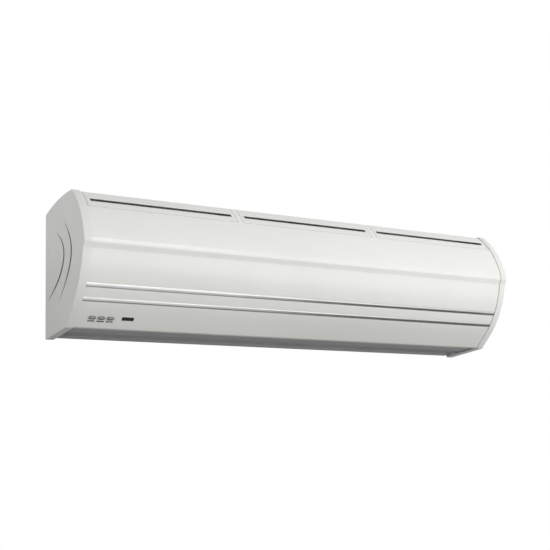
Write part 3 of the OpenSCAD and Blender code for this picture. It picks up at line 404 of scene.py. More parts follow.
def settle(obj, smooth_angle=30):
    """Applies the modifiers and marks the sharp edges anew."""
    graph = bpy.context.evaluated_depsgraph_get()
    mesh = bpy.data.meshes.new_from_object(obj.evaluated_get(graph))
    obj.modifiers.clear()
    obj.data = mesh
    bm = bmesh.new()
    bm.from_mesh(mesh)
    bmesh.ops.remove_doubles(bm, verts=bm.verts, dist=2e-6)
    for f in bm.faces:
        f.smooth = True
    for e in bm.edges:
        e.smooth = not (len(e.link_faces) == 2 and e.calc_face_angle(0) > math.radians(smooth_angle))
    bm.to_mesh(mesh)
    bm.free()


def thicken(obj, thickness):
    """Turns a sheet into a wall behind its outer surface."""
    wall = obj.modifiers.new("wall", "SOLIDIFY")
    wall.thickness = thickness
    wall.offset = -1
    wall.use_even_offset = True


def ease_edges(obj, width, segments, angle):
    """Adds a small bevel to the edges sharper than angle."""
    bevel = obj.modifiers.new("edges", "BEVEL")
    bevel.width = width
    bevel.segments = segments
    bevel.limit_method = "ANGLE"
    bevel.angle_limit = math.radians(angle)


def carve(obj, cutters, operation="DIFFERENCE"):
    """Cuts the cutters out of obj, or adds them to it, and removes them."""
    for cutter in cutters:
        cut = obj.modifiers.new("cut", "BOOLEAN")
        cut.operation = operation
        cut.solver = "EXACT"
        cut.material_mode = "TRANSFER"
        cut.object = cutter
    bpy.context.view_layer.update()
    settle(obj)
    for cutter in cutters:
        bpy.data.objects.remove(cutter)
    return obj


def hand_over(obj, body, slot_name, *nodes):
    """Ties a piece to its body and hides the CAD nodes it stands for; slot_name is not used."""
    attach(obj, body)
    if nodes:
        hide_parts(*nodes)


def panel_matrix(x, up, out=0.0):
    """A place on the casing's button panel: local z points out of it and y up along it."""
    spot = at(TOE + PANEL_DIR * up - PANEL_OUT * (CAP_PROUD - out), x)
    turn = Matrix((Vector((1, 0, 0)), heading(PANEL_DIR), heading(PANEL_OUT))).transposed()
    return Matrix.Translation(spot) @ turn.to_4x4()


# ---------- materials ----------


class Finish:
    """A node material with its Principled shader and object-coordinate patterns."""

    def __init__(self, name, **sockets):
        self.material = bpy.data.materials.new(name)
        self.material.use_nodes = True
        self.tree = self.material.node_tree
        self.shader = self.tree.nodes["Principled BSDF"]
        for socket, value in sockets.items():
            self.shader.inputs[socket.replace("_", " ")].default_value = value
        self.place = self.add("ShaderNodeTexCoord").outputs["Object"]

    def add(self, kind, **settings):
        node = self.tree.nodes.new(kind)
        for name, value in settings.items():
            setattr(node, name, value)
        return node

    def link(self, source, target):
        self.tree.links.new(source, target)

    def stretched(self, scale):
        mapping = self.add("ShaderNodeMapping")
        mapping.inputs["Scale"].default_value = scale
        self.link(self.place, mapping.inputs["Vector"])
        return mapping.outputs["Vector"]

    def noise(self, scale, detail=3.0, roughness=0.5, vector=None):
        node = self.add("ShaderNodeTexNoise")
        node.inputs["Scale"].default_value = scale
        node.inputs["Detail"].default_value = detail
        node.inputs["Roughness"].default_value = roughness
        self.link(vector or self.place, node.inputs["Vector"])
        return node.outputs["Fac"]

    def spread(self, source, low, high, start=0.3, end=0.7):
        """Maps a pattern from start..end to low..high."""
        node = self.add("ShaderNodeMapRange")
        node.inputs["From Min"].default_value = start
        node.inputs["From Max"].default_value = end
        node.inputs["To Min"].default_value = low
        node.inputs["To Max"].default_value = high
        self.link(source, node.inputs["Value"])
        return node.outputs["Result"]

    def colours(self, factor, first, second):
        ramp = self.add("ShaderNodeValToRGB")
        ramp.color_ramp.elements[0].position = 0.3
        ramp.color_ramp.elements[0].color = (*first, 1)
        ramp.color_ramp.elements[1].position = 0.7
        ramp.color_ramp.elements[1].color = (*second, 1)
        self.link(factor, ramp.inputs["Fac"])
        self.link(ramp.outputs["Color"], self.shader.inputs["Base Color"])

    def roughness(self, factor, low, high):
        self.link(self.spread(factor, low, high), self.shader.inputs["Roughness"])

    def relief(self, factor, height):
        bump = self.add("ShaderNodeBump")
        bump.inputs["Strength"].default_value = 1.0
        bump.inputs["Distance"].default_value = height
        self.link(factor, bump.inputs["Height"])
        self.link(bump.outputs["Normal"], self.shader.inputs["Normal"])


def moulded_plastic(name, first, second, rough, grain, height, **sockets):
    """Moulded plastic: a slow change of tone, uneven gloss and a fine grain."""
    finish = Finish(name, **sockets)
    finish.colours(finish.noise(7.0, 4.0), first, second)
    finish.roughness(finish.noise(38.0, 5.0, 0.6), rough[0], rough[1])
    finish.relief(finish.noise(grain, 2.0, 0.6), height)
    return finish.material


def drawn_metal(name, first, second, rough, stretch, height, **sockets):
    """Metal with fine drawing lines along its length."""
    finish = Finish(name, Metallic=1.0, **sockets)
    lines = finish.noise(1.0, 6.0, 0.65, finish.stretched(stretch))
    finish.colours(finish.noise(24.0, 3.0), first, second)
    finish.roughness(lines, rough[0], rough[1])
    finish.relief(lines, height)
    return finish.material


def zinc_sheet(name, first, second, rough):
    """Galvanised sheet: spangles that differ in tone and gloss."""
    finish = Finish(name, Metallic=0.75)
    spangle = finish.add("ShaderNodeTexVoronoi", feature="F1")
    spangle.inputs["Scale"].default_value = 170.0
    finish.link(finish.place, spangle.inputs["Vector"])
    grey = finish.add("ShaderNodeSeparateColor")
    finish.link(spangle.outputs["Color"], grey.inputs["Color"])
    finish.colours(grey.outputs["Red"], first, second)
    finish.roughness(grey.outputs["Green"], rough[0], rough[1])
    finish.relief(finish.noise(420.0, 2.0), 0.00003)
    return finish.material


CASING_WHITE = moulded_plastic(
    "casing_white", (0.79, 0.787, 0.757), (0.82, 0.817, 0.787), (0.32, 0.40), 900.0, 0.000012,
    Specular_IOR_Level=0.8, Coat_Weight=0.3, Coat_Roughness=0.12)
CAP_WHITE = moulded_plastic(
    "cap_white", (0.765, 0.765, 0.745), (0.80, 0.80, 0.78), (0.42, 0.55), 1300.0, 0.00003)
# Dark grey lining for the crescent grooves: painted shade that darkens the recesses.
GROOVE_SHADE_GREY = moulded_plastic(
    "groove_painted_shade", (0.13, 0.13, 0.13), (0.17, 0.17, 0.17), (0.5, 0.62), 1300.0, 0.00003)
GRILLE_WHITE = moulded_plastic(
    "grille_white", (0.78, 0.778, 0.755), (0.81, 0.808, 0.785), (0.36, 0.46), 1200.0, 0.00002)
OUTLET_GREY = moulded_plastic(
    "outlet_grey", (0.43, 0.431, 0.433), (0.47, 0.471, 0.473), (0.40, 0.52), 1100.0, 0.00003)
VANE_GREY = moulded_plastic(
    "vane_grey", (0.31, 0.31, 0.31), (0.36, 0.36, 0.36), (0.36, 0.48), 1100.0, 0.00003)
CARRIER_WHITE = moulded_plastic(
    "carrier_white", (0.76, 0.76, 0.73), (0.82, 0.82, 0.79), (0.40, 0.50), 700.0, 0.00004)
INNER_WHITE = moulded_plastic(
    "inner_white", (0.70, 0.70, 0.68), (0.77, 0.77, 0.75), (0.45, 0.6), 800.0, 0.00005)
BUTTON_SILVER = moulded_plastic(
    "button_silver", (0.24, 0.242, 0.245), (0.29, 0.292, 0.295), (0.14, 0.20), 1500.0, 0.000006,
    Metallic=1.0)
WINDOW_BLACK = moulded_plastic(
    "window_black", (0.008, 0.008, 0.01), (0.016, 0.016, 0.019), (0.10, 0.18), 600.0, 0.000004,
    Specular_IOR_Level=0.25)
TRIM_CHROME = drawn_metal(
    "trim_chrome", (0.68, 0.68, 0.677), (0.74, 0.74, 0.737), (0.28, 0.38), (3.0, 900.0, 900.0),
    0.000004)
ZINC_SHEET = zinc_sheet("galvanised_sheet", (0.58, 0.59, 0.60), (0.68, 0.69, 0.70), (0.36, 0.48))
BRACKET_STEEL = zinc_sheet("bracket_steel", (0.52, 0.53, 0.54), (0.61, 0.62, 0.63), (0.34, 0.44))
SCREW_STEEL = drawn_metal(
    "screw_steel", (0.56, 0.56, 0.55), (0.68, 0.68, 0.67), (0.22, 0.36), (400.0, 400.0, 400.0), 0.00003)
SHAFT_STEEL = drawn_metal(
    "shaft_steel", (0.52, 0.52, 0.53), (0.64, 0.64, 0.65), (0.18, 0.30), (1500.0, 60.0, 60.0), 0.00001)
FAN_ALUMINIUM = drawn_metal(
    "fan_aluminium", (0.60, 0.61, 0.62), (0.74, 0.75, 0.76), (0.28, 0.44), (8.0, 500.0, 500.0), 0.00002)
MOTOR_BLACK = moulded_plastic(
    "motor_black", (0.018, 0.018, 0.02), (0.035, 0.035, 0.038), (0.30, 0.48), 700.0, 0.00006)
RUBBER_BLACK = moulded_plastic(
    "rubber_black", (0.012, 0.012, 0.012), (0.03, 0.03, 0.03), (0.62, 0.82), 900.0, 0.00008)
BEARING_BRONZE = drawn_metal(
    "bearing_bronze", (0.42, 0.27, 0.11), (0.58, 0.40, 0.19), (0.32, 0.5), (300.0, 300.0, 300.0),
    0.00004)
BOARD_GREEN = moulded_plastic(
    "board_green", (0.012, 0.10, 0.035), (0.02, 0.16, 0.06), (0.28, 0.42), 500.0, 0.00003)
COMPONENT_BLACK = moulded_plastic(
    "component_black", (0.012, 0.012, 0.014), (0.028, 0.028, 0.03), (0.38, 0.55), 900.0, 0.00005)
MARK_GREY = moulded_plastic(
    "mark_grey", (0.012, 0.012, 0.013), (0.02, 0.02, 0.021), (0.5, 0.65), 900.0, 0.00001)

NODE_FINISHES = {
    ZINC_SHEET: ["wall_plate", "back_chassis", "end_plate_left", "end_plate_right",
                 "scroll_left", "scroll_right", "tongue_left", "tongue_right"],
    BRACKET_STEEL: ["motor_cradle", "motor_straps", "electrics_tray", "capacitor_clamp"],
    SCREW_STEEL: ["chassis_screws", "cap_screws", "hub_screws"],
    SHAFT_STEEL: ["motor_shaft"],
    FAN_ALUMINIUM: ["impeller_left", "impeller_right"],
    MOTOR_BLACK: ["motor_housing"],
    RUBBER_BLACK: ["motor_rings", "bearing_seats", "cable_grommet"],
    BEARING_BRONZE: ["bearing_left", "bearing_right"],
    OUTLET_GREY: ["outlet_frame"],
    VANE_GREY: ["vane_front", "vane_middle", "vane_rear", "vane_link"],
    CARRIER_WHITE: ["vane_carriers"],
    INNER_WHITE: ["button_housing", "run_capacitor", "terminal_block"],
    BOARD_GREEN: ["control_board"],
    COMPONENT_BLACK: ["button_switches", "receiver"],
}


def finish_nodes():
    """Gives each CAD node that stays its material."""
    for material, names in NODE_FINISHES.items():
        for name in names:
            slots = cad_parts[name].material_slots
            for one in slots:
                one.material = material


# ---------- casing ----------


def out_at(co):
    """Outward heading of the top or the upper front at a point."""
    depth = -co.y
    centre = at(TOP_CENTRE if depth < PEAK.x else UPPER_CENTRE, co.x)
    return (co - centre).normalized()


def casing_sheet(x0, x1):
    """The casing's outer surface from x0 to x1, with its long edges softened."""
    bm = bmesh.new()
    outline(bm, CAP_PROUD, x0, closed=False)
    made = bmesh.ops.extrude_edge_only(bm, edges=bm.edges[:])["geom"]
    ends = [v for v in made if isinstance(v, bmesh.types.BMVert)]
    bmesh.ops.translate(bm, verts=ends, vec=(x1 - x0, 0, 0))
    face_outwards(bm)
    c = corners(CAP_PROUD)
    for corner, (width, steps) in CASING_EDGES.items():
        soften(bm, long_edges_near(bm, c[corner]), width, steps)
    clean(bm)
    return bm


def near(co, point, reach):
    """Whether a point lies within reach of a point of the side view."""
    spot = at(point)
    return (Vector((0, co.y, co.z)) - spot).length < reach


def sink_trim_seat(bm, height):
    """Sinks the shallow groove that a trim lies in."""
    middle, out = lower_point(height, CAP_PROUD)
    along = Vector((-out.y, out.x))
    half = TRIM_WIDTH / 2 + TRIM_FIT
    run = heading(along)
    for side in (-1, 1):
        faces = faces_where(bm, lambda c: near(c, middle, TRIM_CUT_REACH))
        bmesh.ops.bisect_plane(bm, geom=part_of(faces), dist=1e-6,
                               plane_co=at(middle + along * half * side), plane_no=run)
    spot = at(middle)
    band = faces_where(bm, lambda c: near(c, middle, TRIM_BAND_REACH)
                       and abs((Vector((0, c.y, c.z)) - spot).dot(run)) < half)
    bmesh.ops.translate(bm, verts=raise_faces(bm, band), vec=heading(-out) * TRIM_SEAT)
    drop_faces(bm, faces_where(bm, lambda c: abs(abs(c.x) - CAP_SEAM_X) < 2 * SEAM))


def in_pocket(c, start, margin):
    """Whether a point lies in the grille's field, margin away from its edge."""
    return (start + margin < c.x < start + GRILLE_LENGTH - margin
            and -c.y > GRILLE_BACK_DEPTH + margin
            and c.z + MOUNT_HEIGHT > GRILLE_FRONT_HEIGHT + margin)


def front_faces(bm):
    """The faces in front of the peak and just behind it."""
    return faces_where(bm, lambda c: -c.y > PEAK.x - PEAK_ZONE and c.z > 0)


def cut_field(bm, start, margin):
    """Cuts a loop of edges round a grille's field."""
    for x in (start + margin, start + GRILLE_LENGTH - margin):
        cut_at(bm, (x, 0, 0), (1, 0, 0))
    back = faces_where(bm, lambda c: -c.y < PEAK.x and c.z > 0)
    front = front_faces(bm)
    for faces, co, no in (
        (back, (0, -GRILLE_BACK_DEPTH - margin, 0), (0, 1, 0)),
        (front, (0, 0, GRILLE_FRONT_HEIGHT + margin - MOUNT_HEIGHT), (0, 0, 1)),
    ):
        bmesh.ops.bisect_plane(bm, geom=part_of(faces), dist=1e-6, plane_co=co, plane_no=no)


def open_pocket(bm, start):
    """Opens the casing under a grille and leaves a sunk seat round the opening."""
    cut_field(bm, start, 0)
    for v in raise_faces(bm, faces_where(bm, lambda c: in_pocket(c, start, 0))):
        v.co -= out_at(v.co) * SEAT_DROP
    cut_field(bm, start, GRILLE_SEAT)
    drop_faces(bm, faces_where(bm, lambda c: in_pocket(c, start, GRILLE_SEAT)))


def button_hole(x):
    """An oval cutter through the button panel."""
    radius = BUTTON_RADIUS + BUTTON_FIT
    bm = bmesh.new()
    bmesh.ops.create_cone(bm, cap_ends=True, segments=64, radius1=radius, radius2=radius,
                          depth=PANEL_CUT)
    for side in (-1, 1):
        end = [v for v in bm.verts if v.co.x * side > 1e-6]
        bmesh.ops.translate(bm, verts=end, vec=(side * BUTTON_REACH, 0, 0))
    bmesh.ops.transform(bm, matrix=panel_matrix(x, BUTTON_UP), verts=bm.verts)
    return piece(bm, "hole_cutter", CASING_WHITE)


def screw_hole(x, radius, low, high):
    """A standing round cutter for a casing screw."""
    bm = bmesh.new()
    middle = Vector((CASING_SCREW_DEPTH, (low + high) / 2))
    bmesh.ops.create_cone(bm, cap_ends=True, segments=32, radius1=radius, radius2=radius,
                          depth=high - low, matrix=Matrix.Translation(at(middle, x)))
    return piece(bm, "hole_cutter", CASING_WHITE)


def casing_tab(x):
    """The block under the casing's top edge that a screw holds down."""
    bm = bmesh.new()
    middle = Vector((CASING_TAB_DEPTH / 2 + SEAM, CASING_TAB_HEIGHT + CASING_WALL / 2))
    box(bm, Matrix.Translation(at(middle, x)), CASING_TAB_WIDTH, CASING_TAB_DEPTH, CASING_WALL)
    reach = TOP_RADIUS - CAP_PROUD - CASING_WALL / 2
    for v in bm.verts:
        if v.co.z > at(middle).z:
            rise = math.sqrt(reach ** 2 - (-v.co.y - TOP_CENTRE.x) ** 2)
            v.co.z = TOP_CENTRE.y + rise - MOUNT_HEIGHT
    return piece(bm, "screw_tab", CASING_WHITE)


def window_hole():
    """A cutter through the button panel for the receiver's window."""
    bm = bmesh.new()
    box(bm, panel_matrix(WINDOW_X, BUTTON_UP), WINDOW_LENGTH, WINDOW_WIDTH, PANEL_CUT)
    return piece(bm, "window_cutter", CASING_WHITE)


def make_casing():
    """The casing: a sheet with trim grooves and grille pockets, thickened, with tabs and holes."""
    half = CAP_SEAM_X - SEAM
    bm = casing_sheet(-half, half)
    for height in TRIM_HEIGHTS.values():
        sink_trim_seat(bm, height)
    for start in GRILLE_STARTS:
        open_pocket(bm, start)
    clean(bm)
    obj = piece(bm, "casing_shell", CASING_WHITE)
    thicken(obj, CASING_WALL)
    settle(obj)
    cutters = [button_hole(x) for x in BUTTON_X.values()] + [window_hole()]
    for x in CASING_SCREW_X:
        cutters.append(screw_hole(x, SCREW_HEAD_RADIUS + SCREW_FIT, *SCREW_HEAD_BORE))
        cutters.append(screw_hole(x, SCREW_RADIUS + SCREW_FIT, *SCREW_SHANK_BORE))
    carve(obj, [casing_tab(x) for x in CASING_SCREW_X], "UNION")
    carve(obj, cutters)
    hand_over(obj, "housing", "casing_white", "front_panel")


def turned(profile, dome):
    """Spins a profile of (radius, z) points about z and closes it with a dome of that height."""
    bm = bmesh.new()
    vert = bm.verts.new((0, 0, profile[0][1]))
    for r, z in profile:
        vert = straight(bm, vert, (r, 0, z))
    rim, top = profile[-1]
    radius = (rim ** 2 + dome ** 2) / (2 * dome)
    bmesh.ops.spin(bm, geom=[vert], cent=(0, 0, top + dome - radius), axis=(0, 1, 0),
                   angle=-math.asin(rim / radius), steps=8)
    bmesh.ops.spin(bm, geom=bm.verts[:] + bm.edges[:], cent=(0, 0, 0), axis=(0, 0, 1),
                   angle=2 * math.pi, steps=48, use_merge=True)
    bmesh.ops.remove_doubles(bm, verts=bm.verts, dist=1e-6)
    bmesh.ops.recalc_face_normals(bm, faces=bm.faces)
    return bm


def make_casing_screws():
    """The domed, cross-headed screws along the casing's top edge."""
    whole = bmesh.new()
    cutters = []
    for x in CASING_SCREW_X:
        bm = turned([(SCREW_RADIUS * SCREW_TIP, -SCREW_LENGTH),
                     (SCREW_RADIUS, SCREW_RADIUS - SCREW_LENGTH), (SCREW_RADIUS, 0),
                     (SCREW_HEAD_RADIUS, 0), (SCREW_HEAD_RADIUS, SCREW_HEAD_RIM)], SCREW_HEAD_DOME)
        place = Matrix.Translation(at(Vector((CASING_SCREW_DEPTH, SCREW_HEAD_BORE[0])), x))
        bmesh.ops.transform(bm, matrix=place, verts=bm.verts)
        one = bpy.data.meshes.new("screw")
        bm.to_mesh(one)
        bm.free()
        whole.from_mesh(one)
        length, width, depth = SCREW_RECESS
        top = Matrix.Translation((0, 0, SCREW_HEAD_RIM + SCREW_HEAD_DOME))
        for arm in ((length, width), (width, length)):
            cross = bmesh.new()
            box(cross, place @ top, *arm, 2 * depth)
            cutters.append(piece(cross, "recess_cutter", SCREW_STEEL))
    obj = carve(piece(whole, "casing_top_screws", SCREW_STEEL), cutters)
    hand_over(obj, "housing", "screw_steel", "casing_screws")


# ---------- grilles ----------


def slot_bays(start):
    """The x spans between a grille's ribs."""
    first = start + SLOT_BORDER
    return [(first + k * (SLOT_BAY + SLOT_RIB), first + k * (SLOT_BAY + SLOT_RIB) + SLOT_BAY)
            for k in range(4)]


def front_slot_rim():
    """The heights between which a grille's front is thin."""
    return FRONT_SLOT[0] - FRONT_SLOT_RELIEF, FRONT_SLOT[1] + FRONT_SLOT_RELIEF


def by_front_slot(c):
    """Whether a point lies beside a grille's front slot."""
    low, high = front_slot_rim()
    return -c.y > PEAK.x and low < c.z + MOUNT_HEIGHT < high


def grille_sheet(start):
    """A grille's outer surface with the slots in its top left open."""
    x0 = start + GRILLE_SEAM
    x1 = start + GRILLE_LENGTH - GRILLE_SEAM
    bm = casing_sheet(x0, x1)
    cut_field(bm, start, GRILLE_SEAM)
    drop_faces(bm, faces_where(bm, lambda c: not in_pocket(c, start, GRILLE_SEAM * 0.5)
                               or -c.y < GRILLE_BACK_DEPTH + GRILLE_SEAM
                               or c.z + MOUNT_HEIGHT < GRILLE_FRONT_HEIGHT + GRILLE_SEAM))
    starts = [TOP_SLOT_START + k * TOP_SLOT_PITCH for k in range(TOP_SLOTS)]
    for depth in [d for s in starts for d in (s, s + TOP_SLOT_WIDTH)]:
        cut_at(bm, (0, -depth, 0), (0, 1, 0))
    bays = slot_bays(start)
    for x in [x for bay in bays for x in bay]:
        cut_at(bm, (x, 0, 0), (1, 0, 0))

    def in_slot(c):
        return any(a < c.x < b for a, b in bays) and any(s < -c.y < s + TOP_SLOT_WIDTH for s in starts)

    cut_field(bm, start, GRILLE_BAR_INSET)
    for height in front_slot_rim():
        bmesh.ops.bisect_plane(bm, geom=part_of(front_faces(bm)), dist=1e-6,
                               plane_co=(0, 0, height - MOUNT_HEIGHT), plane_no=(0, 0, 1))
    drop_faces(bm, faces_where(bm, in_slot))
    clean(bm)
    return bm


def front_slot_cutter(start):
    """A level block through a grille's front, for its long slot."""
    low, high = FRONT_SLOT
    middle = Vector(((PEAK.x + BROW.x) / 2, (low + high) / 2))
    place = Matrix.Translation(at(middle, start + GRILLE_LENGTH / 2))
    bm = bmesh.new()
    box(bm, place, GRILLE_LENGTH - 2 * SLOT_BORDER, BROW.x - PEAK.x, high - low)
    return piece(bm, "slot_cutter", GRILLE_WHITE)


def make_grille(name, start):
    """A grille with a thin rim that lies on the casing's seat and deeper bars between its slots."""
    obj = piece(grille_sheet(start), name, GRILLE_WHITE)
    thicken(obj, GRILLE_RIM)
    settle(obj)
    bm = bmesh.new()
    bm.from_mesh(obj.data)
    inner = [f for f in bm.faces if f.normal.dot(out_at(f.calc_center_median())) < -0.9
             and in_pocket(f.calc_center_median(), start, GRILLE_BAR_INSET - GRILLE_BAR_REACH)
             and not by_front_slot(f.calc_center_median())]
    for v in raise_faces(bm, inner):
        v.co -= out_at(v.co) * (GRILLE_DEPTH - GRILLE_RIM)
    bm.to_mesh(obj.data)
    bm.free()
    carve(obj, [front_slot_cutter(start)])
    ease_edges(obj, GRILLE_EDGE, 2, 40)
    settle(obj)
    hand_over(obj, "housing", "grille_white", "intake_" + name)


# ---------- trims ----------


def make_trim(name):
    """A rounded bright strip in its groove."""
    middle, out = lower_point(TRIM_HEIGHTS[name], CAP_PROUD)
    along = Vector((-out.y, out.x))
    half = TRIM_WIDTH / 2
    round_centre = middle + out * (TRIM_PROUD - TRIM_RADIUS)
    edge_out = TRIM_PROUD - TRIM_RADIUS + math.sqrt(TRIM_RADIUS ** 2 - half ** 2)
    x0 = -CAP_SEAM_X + SEAM
    bm = bmesh.new()
    first = bm.verts.new(at(middle + along * half - out * TRIM_SEAT, x0))
    vert = straight(bm, first, at(middle + along * half + out * edge_out, x0))
    stop = at(middle - along * half + out * edge_out, x0)
    vert = arc(bm, vert, at(round_centre, x0), stop, TRIM_STEPS)
    vert = straight(bm, vert, at(middle - along * half - out * TRIM_SEAT, x0))
    bm.edges.new((vert, first))
    prism(bm, -2 * x0)
    obj = piece(bm, "trim_strip_" + name, TRIM_CHROME)
    ease_edges(obj, TRIM_EDGE, 3, 40)
    settle(obj)
    hand_over(obj, "housing", "trim_chrome", "trim_" + name)


# ---------- end caps ----------


def crescent(points, side, margin):
    """A tube along a bent line on the cap's face, thick in the middle and pointed at both ends."""
    face_x = side * HALF_LENGTH
    radius = CRESCENT_WIDTH / 2 + margin
    line = interpolate_bezier(*[at(Vector(p) * MM, face_x) for p in points], CRESCENT_STEPS + 1)
    curve = bpy.data.curves.new("crescent", "CURVE")
    curve.dimensions = "3D"
    curve.bevel_depth = radius
    curve.bevel_resolution = 5
    curve.use_fill_caps = True
    spline = curve.splines.new("POLY")
    spline.points.add(CRESCENT_STEPS)
    for k, place in enumerate(line):
        spline.points[k].co = (*place, 1)
        swell = math.sin(math.pi * k / CRESCENT_STEPS) * CRESCENT_WIDTH / 2
        spline.points[k].radius = max((swell + margin) / radius, CRESCENT_TIP)
    tube = bpy.data.objects.new("crescent", curve)
    bpy.context.scene.collection.objects.link(tube)
    bpy.context.view_layer.update()
    graph = bpy.context.evaluated_depsgraph_get()
    bm = bmesh.new()
    bm.from_mesh(bpy.data.meshes.new_from_object(tube.evaluated_get(graph)))
    bpy.data.objects.remove(tube)
    bmesh.ops.remove_doubles(bm, verts=bm.verts, dist=1e-7)
    bmesh.ops.recalc_face_normals(bm, faces=bm.faces)
    bmesh.ops.scale(bm, verts=bm.verts, vec=((CRESCENT_DEPTH + margin) / radius, 1, 1),
                    space=Matrix.Translation((-face_x, 0, 0)))
    return bm


def crescent_back(points, side):
    """The swelling inside the cap behind a crescent groove."""
    bm = crescent(points, side, CRESCENT_WALL)
    plane = side * (HALF_LENGTH - CAP_WALL / 2)
    bmesh.ops.bisect_plane(bm, geom=bm.verts[:] + bm.edges[:] + bm.faces[:], dist=1e-7,
                           plane_co=(plane, 0, 0), plane_no=(side, 0, 0), clear_outer=True)
    bmesh.ops.holes_fill(bm, edges=[e for e in bm.edges if e.is_boundary], sides=0)
    bmesh.ops.recalc_face_normals(bm, faces=bm.faces)
    return piece(bm, "crescent_back", CAP_WHITE)


def screw_boss(place, side):
    """A hollow post inside an end cap, for a screw."""
    x0 = side * BOSS_FOOT_X
    x1 = side * (HALF_LENGTH - CAP_WALL / 2)
    bm = bmesh.new()
    first = bm.verts.new(at(place + Vector((0, BOSS_BORE)), x0))
    vert = first
    for radius, x in ((BOSS_RADIUS, x0), (BOSS_RADIUS, x1), (BOSS_BORE, x1)):
        vert = straight(bm, vert, at(place + Vector((0, radius)), x))
    bm.edges.new((vert, first))
    bmesh.ops.spin(bm, geom=bm.verts[:] + bm.edges[:], cent=at(place), axis=(1, 0, 0),
                   angle=2 * math.pi, steps=32, use_merge=True)
    bmesh.ops.recalc_face_normals(bm, faces=bm.faces)
    mesh = bpy.data.meshes.new("boss")
    bm.to_mesh(mesh)
    bm.free()
    return mesh


def make_end_cap(name, side):
    """A cup over the casing's end, with a rounded rim and two crescent grooves in its face, lined with
    dark grey as painted shade.
    """
    seam_x = side * CAP_SEAM_X
    bm = bmesh.new()
    outline(bm, 0, seam_x, closed=True)
    prism(bm, side * CAP_WIDTH)
    drop_faces(bm, faces_where(bm, lambda c: abs(c.x - seam_x) < 1e-5))
    c = corners(0)
    for corner, width in CAP_EDGES.items():
        soften(bm, long_edges_near(bm, c[corner]), width, 4)
    outer = max(bm.faces, key=lambda f: f.calc_area())
    soften(bm, list(outer.edges), CAP_RIM_RADIUS, 4)
    outer = max(bm.faces, key=lambda f: f.calc_area())
    if outer.normal.x * side < 0:
        bmesh.ops.reverse_faces(bm, faces=bm.faces)
    obj = piece(bm, "cap_" + name, CAP_WHITE)
    thicken(obj, CAP_WALL)
    settle(obj)
    carve(obj, [crescent_back(points, side) for points in CRESCENTS], "UNION")
    # The cutters line the grooves with dark grey: painted shade in the recesses, not a colour of the
    # cap.
    carve(obj, [piece(crescent(points, side, 0), "crescent_cutter", GROOVE_SHADE_GREY)
                for points in CRESCENTS])
    bm = bmesh.new()
    bm.from_mesh(obj.data)
    for place in CAP_BOSSES:
        bm.from_mesh(screw_boss(Vector(place) * MM, side))
    bm.to_mesh(obj.data)
    bm.free()
    hand_over(obj, "housing", "cap_white", "end_cap_" + name)


# ---------- buttons and window ----------


def on_stem(co):
    """Whether a point of a button belongs to its stem."""
    return co.z < -BUTTON_FLANGE_END + 1e-6 and math.hypot(co.x, co.y) < BUTTON_STEM_RADIUS + 1e-5


def make_button(name):
    """A domed key with its flange and stem: spun round, then drawn apart into an oval."""
    bm = turned([(BUTTON_STEM_RADIUS, BUTTON_STEM_END), (BUTTON_STEM_RADIUS, -BUTTON_FLANGE_END),
                 (BUTTON_FLANGE_RADIUS, -BUTTON_FLANGE_END), (BUTTON_FLANGE_RADIUS, -BUTTON_FLANGE_TOP),
                 (BUTTON_RADIUS, -BUTTON_FLANGE_TOP), (BUTTON_RADIUS, BUTTON_PROUD)], BUTTON_DOME)
    rim = [e for e in bm.edges if all(abs(v.co.z - BUTTON_PROUD) < 1e-6 for v in e.verts)]
    soften(bm, rim, BUTTON_EDGE, 4)
    for side in (-1, 1):
        end = [v for v in bm.verts if v.co.x * side > 1e-6 and not on_stem(v.co)]
        bmesh.ops.translate(bm, verts=end, vec=(side * BUTTON_REACH, 0, 0))
    bmesh.ops.transform(bm, matrix=panel_matrix(BUTTON_X[name], BUTTON_UP), verts=bm.verts)
    obj = piece(bm, "key_" + name, BUTTON_SILVER)
    hand_over(obj, "button_" + name, "button_silver", "button_" + name)


def slab(bm, place, length, width, low, high):
    """Adds a rectangular block on the button panel, between two heights over it."""
    box(bm, place @ Matrix.Translation((0, 0, (low + high) / 2)), length, width, high - low)


def make_window():
    """The dark lens over the receiver, with a flange behind the panel."""
    place = panel_matrix(WINDOW_X, BUTTON_UP)
    bm = bmesh.new()
    slab(bm, place, WINDOW_LENGTH - 2 * WINDOW_FIT, WINDOW_WIDTH - 2 * WINDOW_FIT,
         -WINDOW_BACK, -WINDOW_SINK)
    outward = place.to_3x3().col[2]
    face = max(bm.faces, key=lambda f: f.calc_center_median().dot(outward))
    soften(bm, list(face.edges), WINDOW_EDGE, 3)
    face = max(bm.faces, key=lambda f: f.calc_center_median().dot(outward))
    bmesh.ops.inset_region(bm, faces=[face], thickness=WINDOW_INSET, depth=-WINDOW_HOLLOW)
    slab(bm, place, WINDOW_LENGTH + 2 * WINDOW_FLANGE, WINDOW_WIDTH + 2 * WINDOW_FLANGE,
         -WINDOW_BACK, -WINDOW_BACK + WINDOW_FLANGE)
    obj = piece(bm, "receiver_lens", WINDOW_BLACK)
    hand_over(obj, "housing", "window_black", "receiver_window")


def printed_text(words, height):
    """A thin mesh of printed words, centred on the origin."""
    text = bpy.data.curves.new("words", "FONT")
    text.body = words
    text.size = height
    text.extrude = MARK_LIFT
    text.offset = height * MARK_BOLDNESS
    text.space_character = MARK_SPACING
    text.align_x = "CENTER"
    text.align_y = "CENTER"
    holder = bpy.data.objects.new("words", text)
    bpy.context.scene.collection.objects.link(holder)
    bpy.context.view_layer.update()
    graph = bpy.context.evaluated_depsgraph_get()
    mesh = bpy.data.meshes.new_from_object(holder.evaluated_get(graph))
    bpy.data.objects.remove(holder)
    return mesh


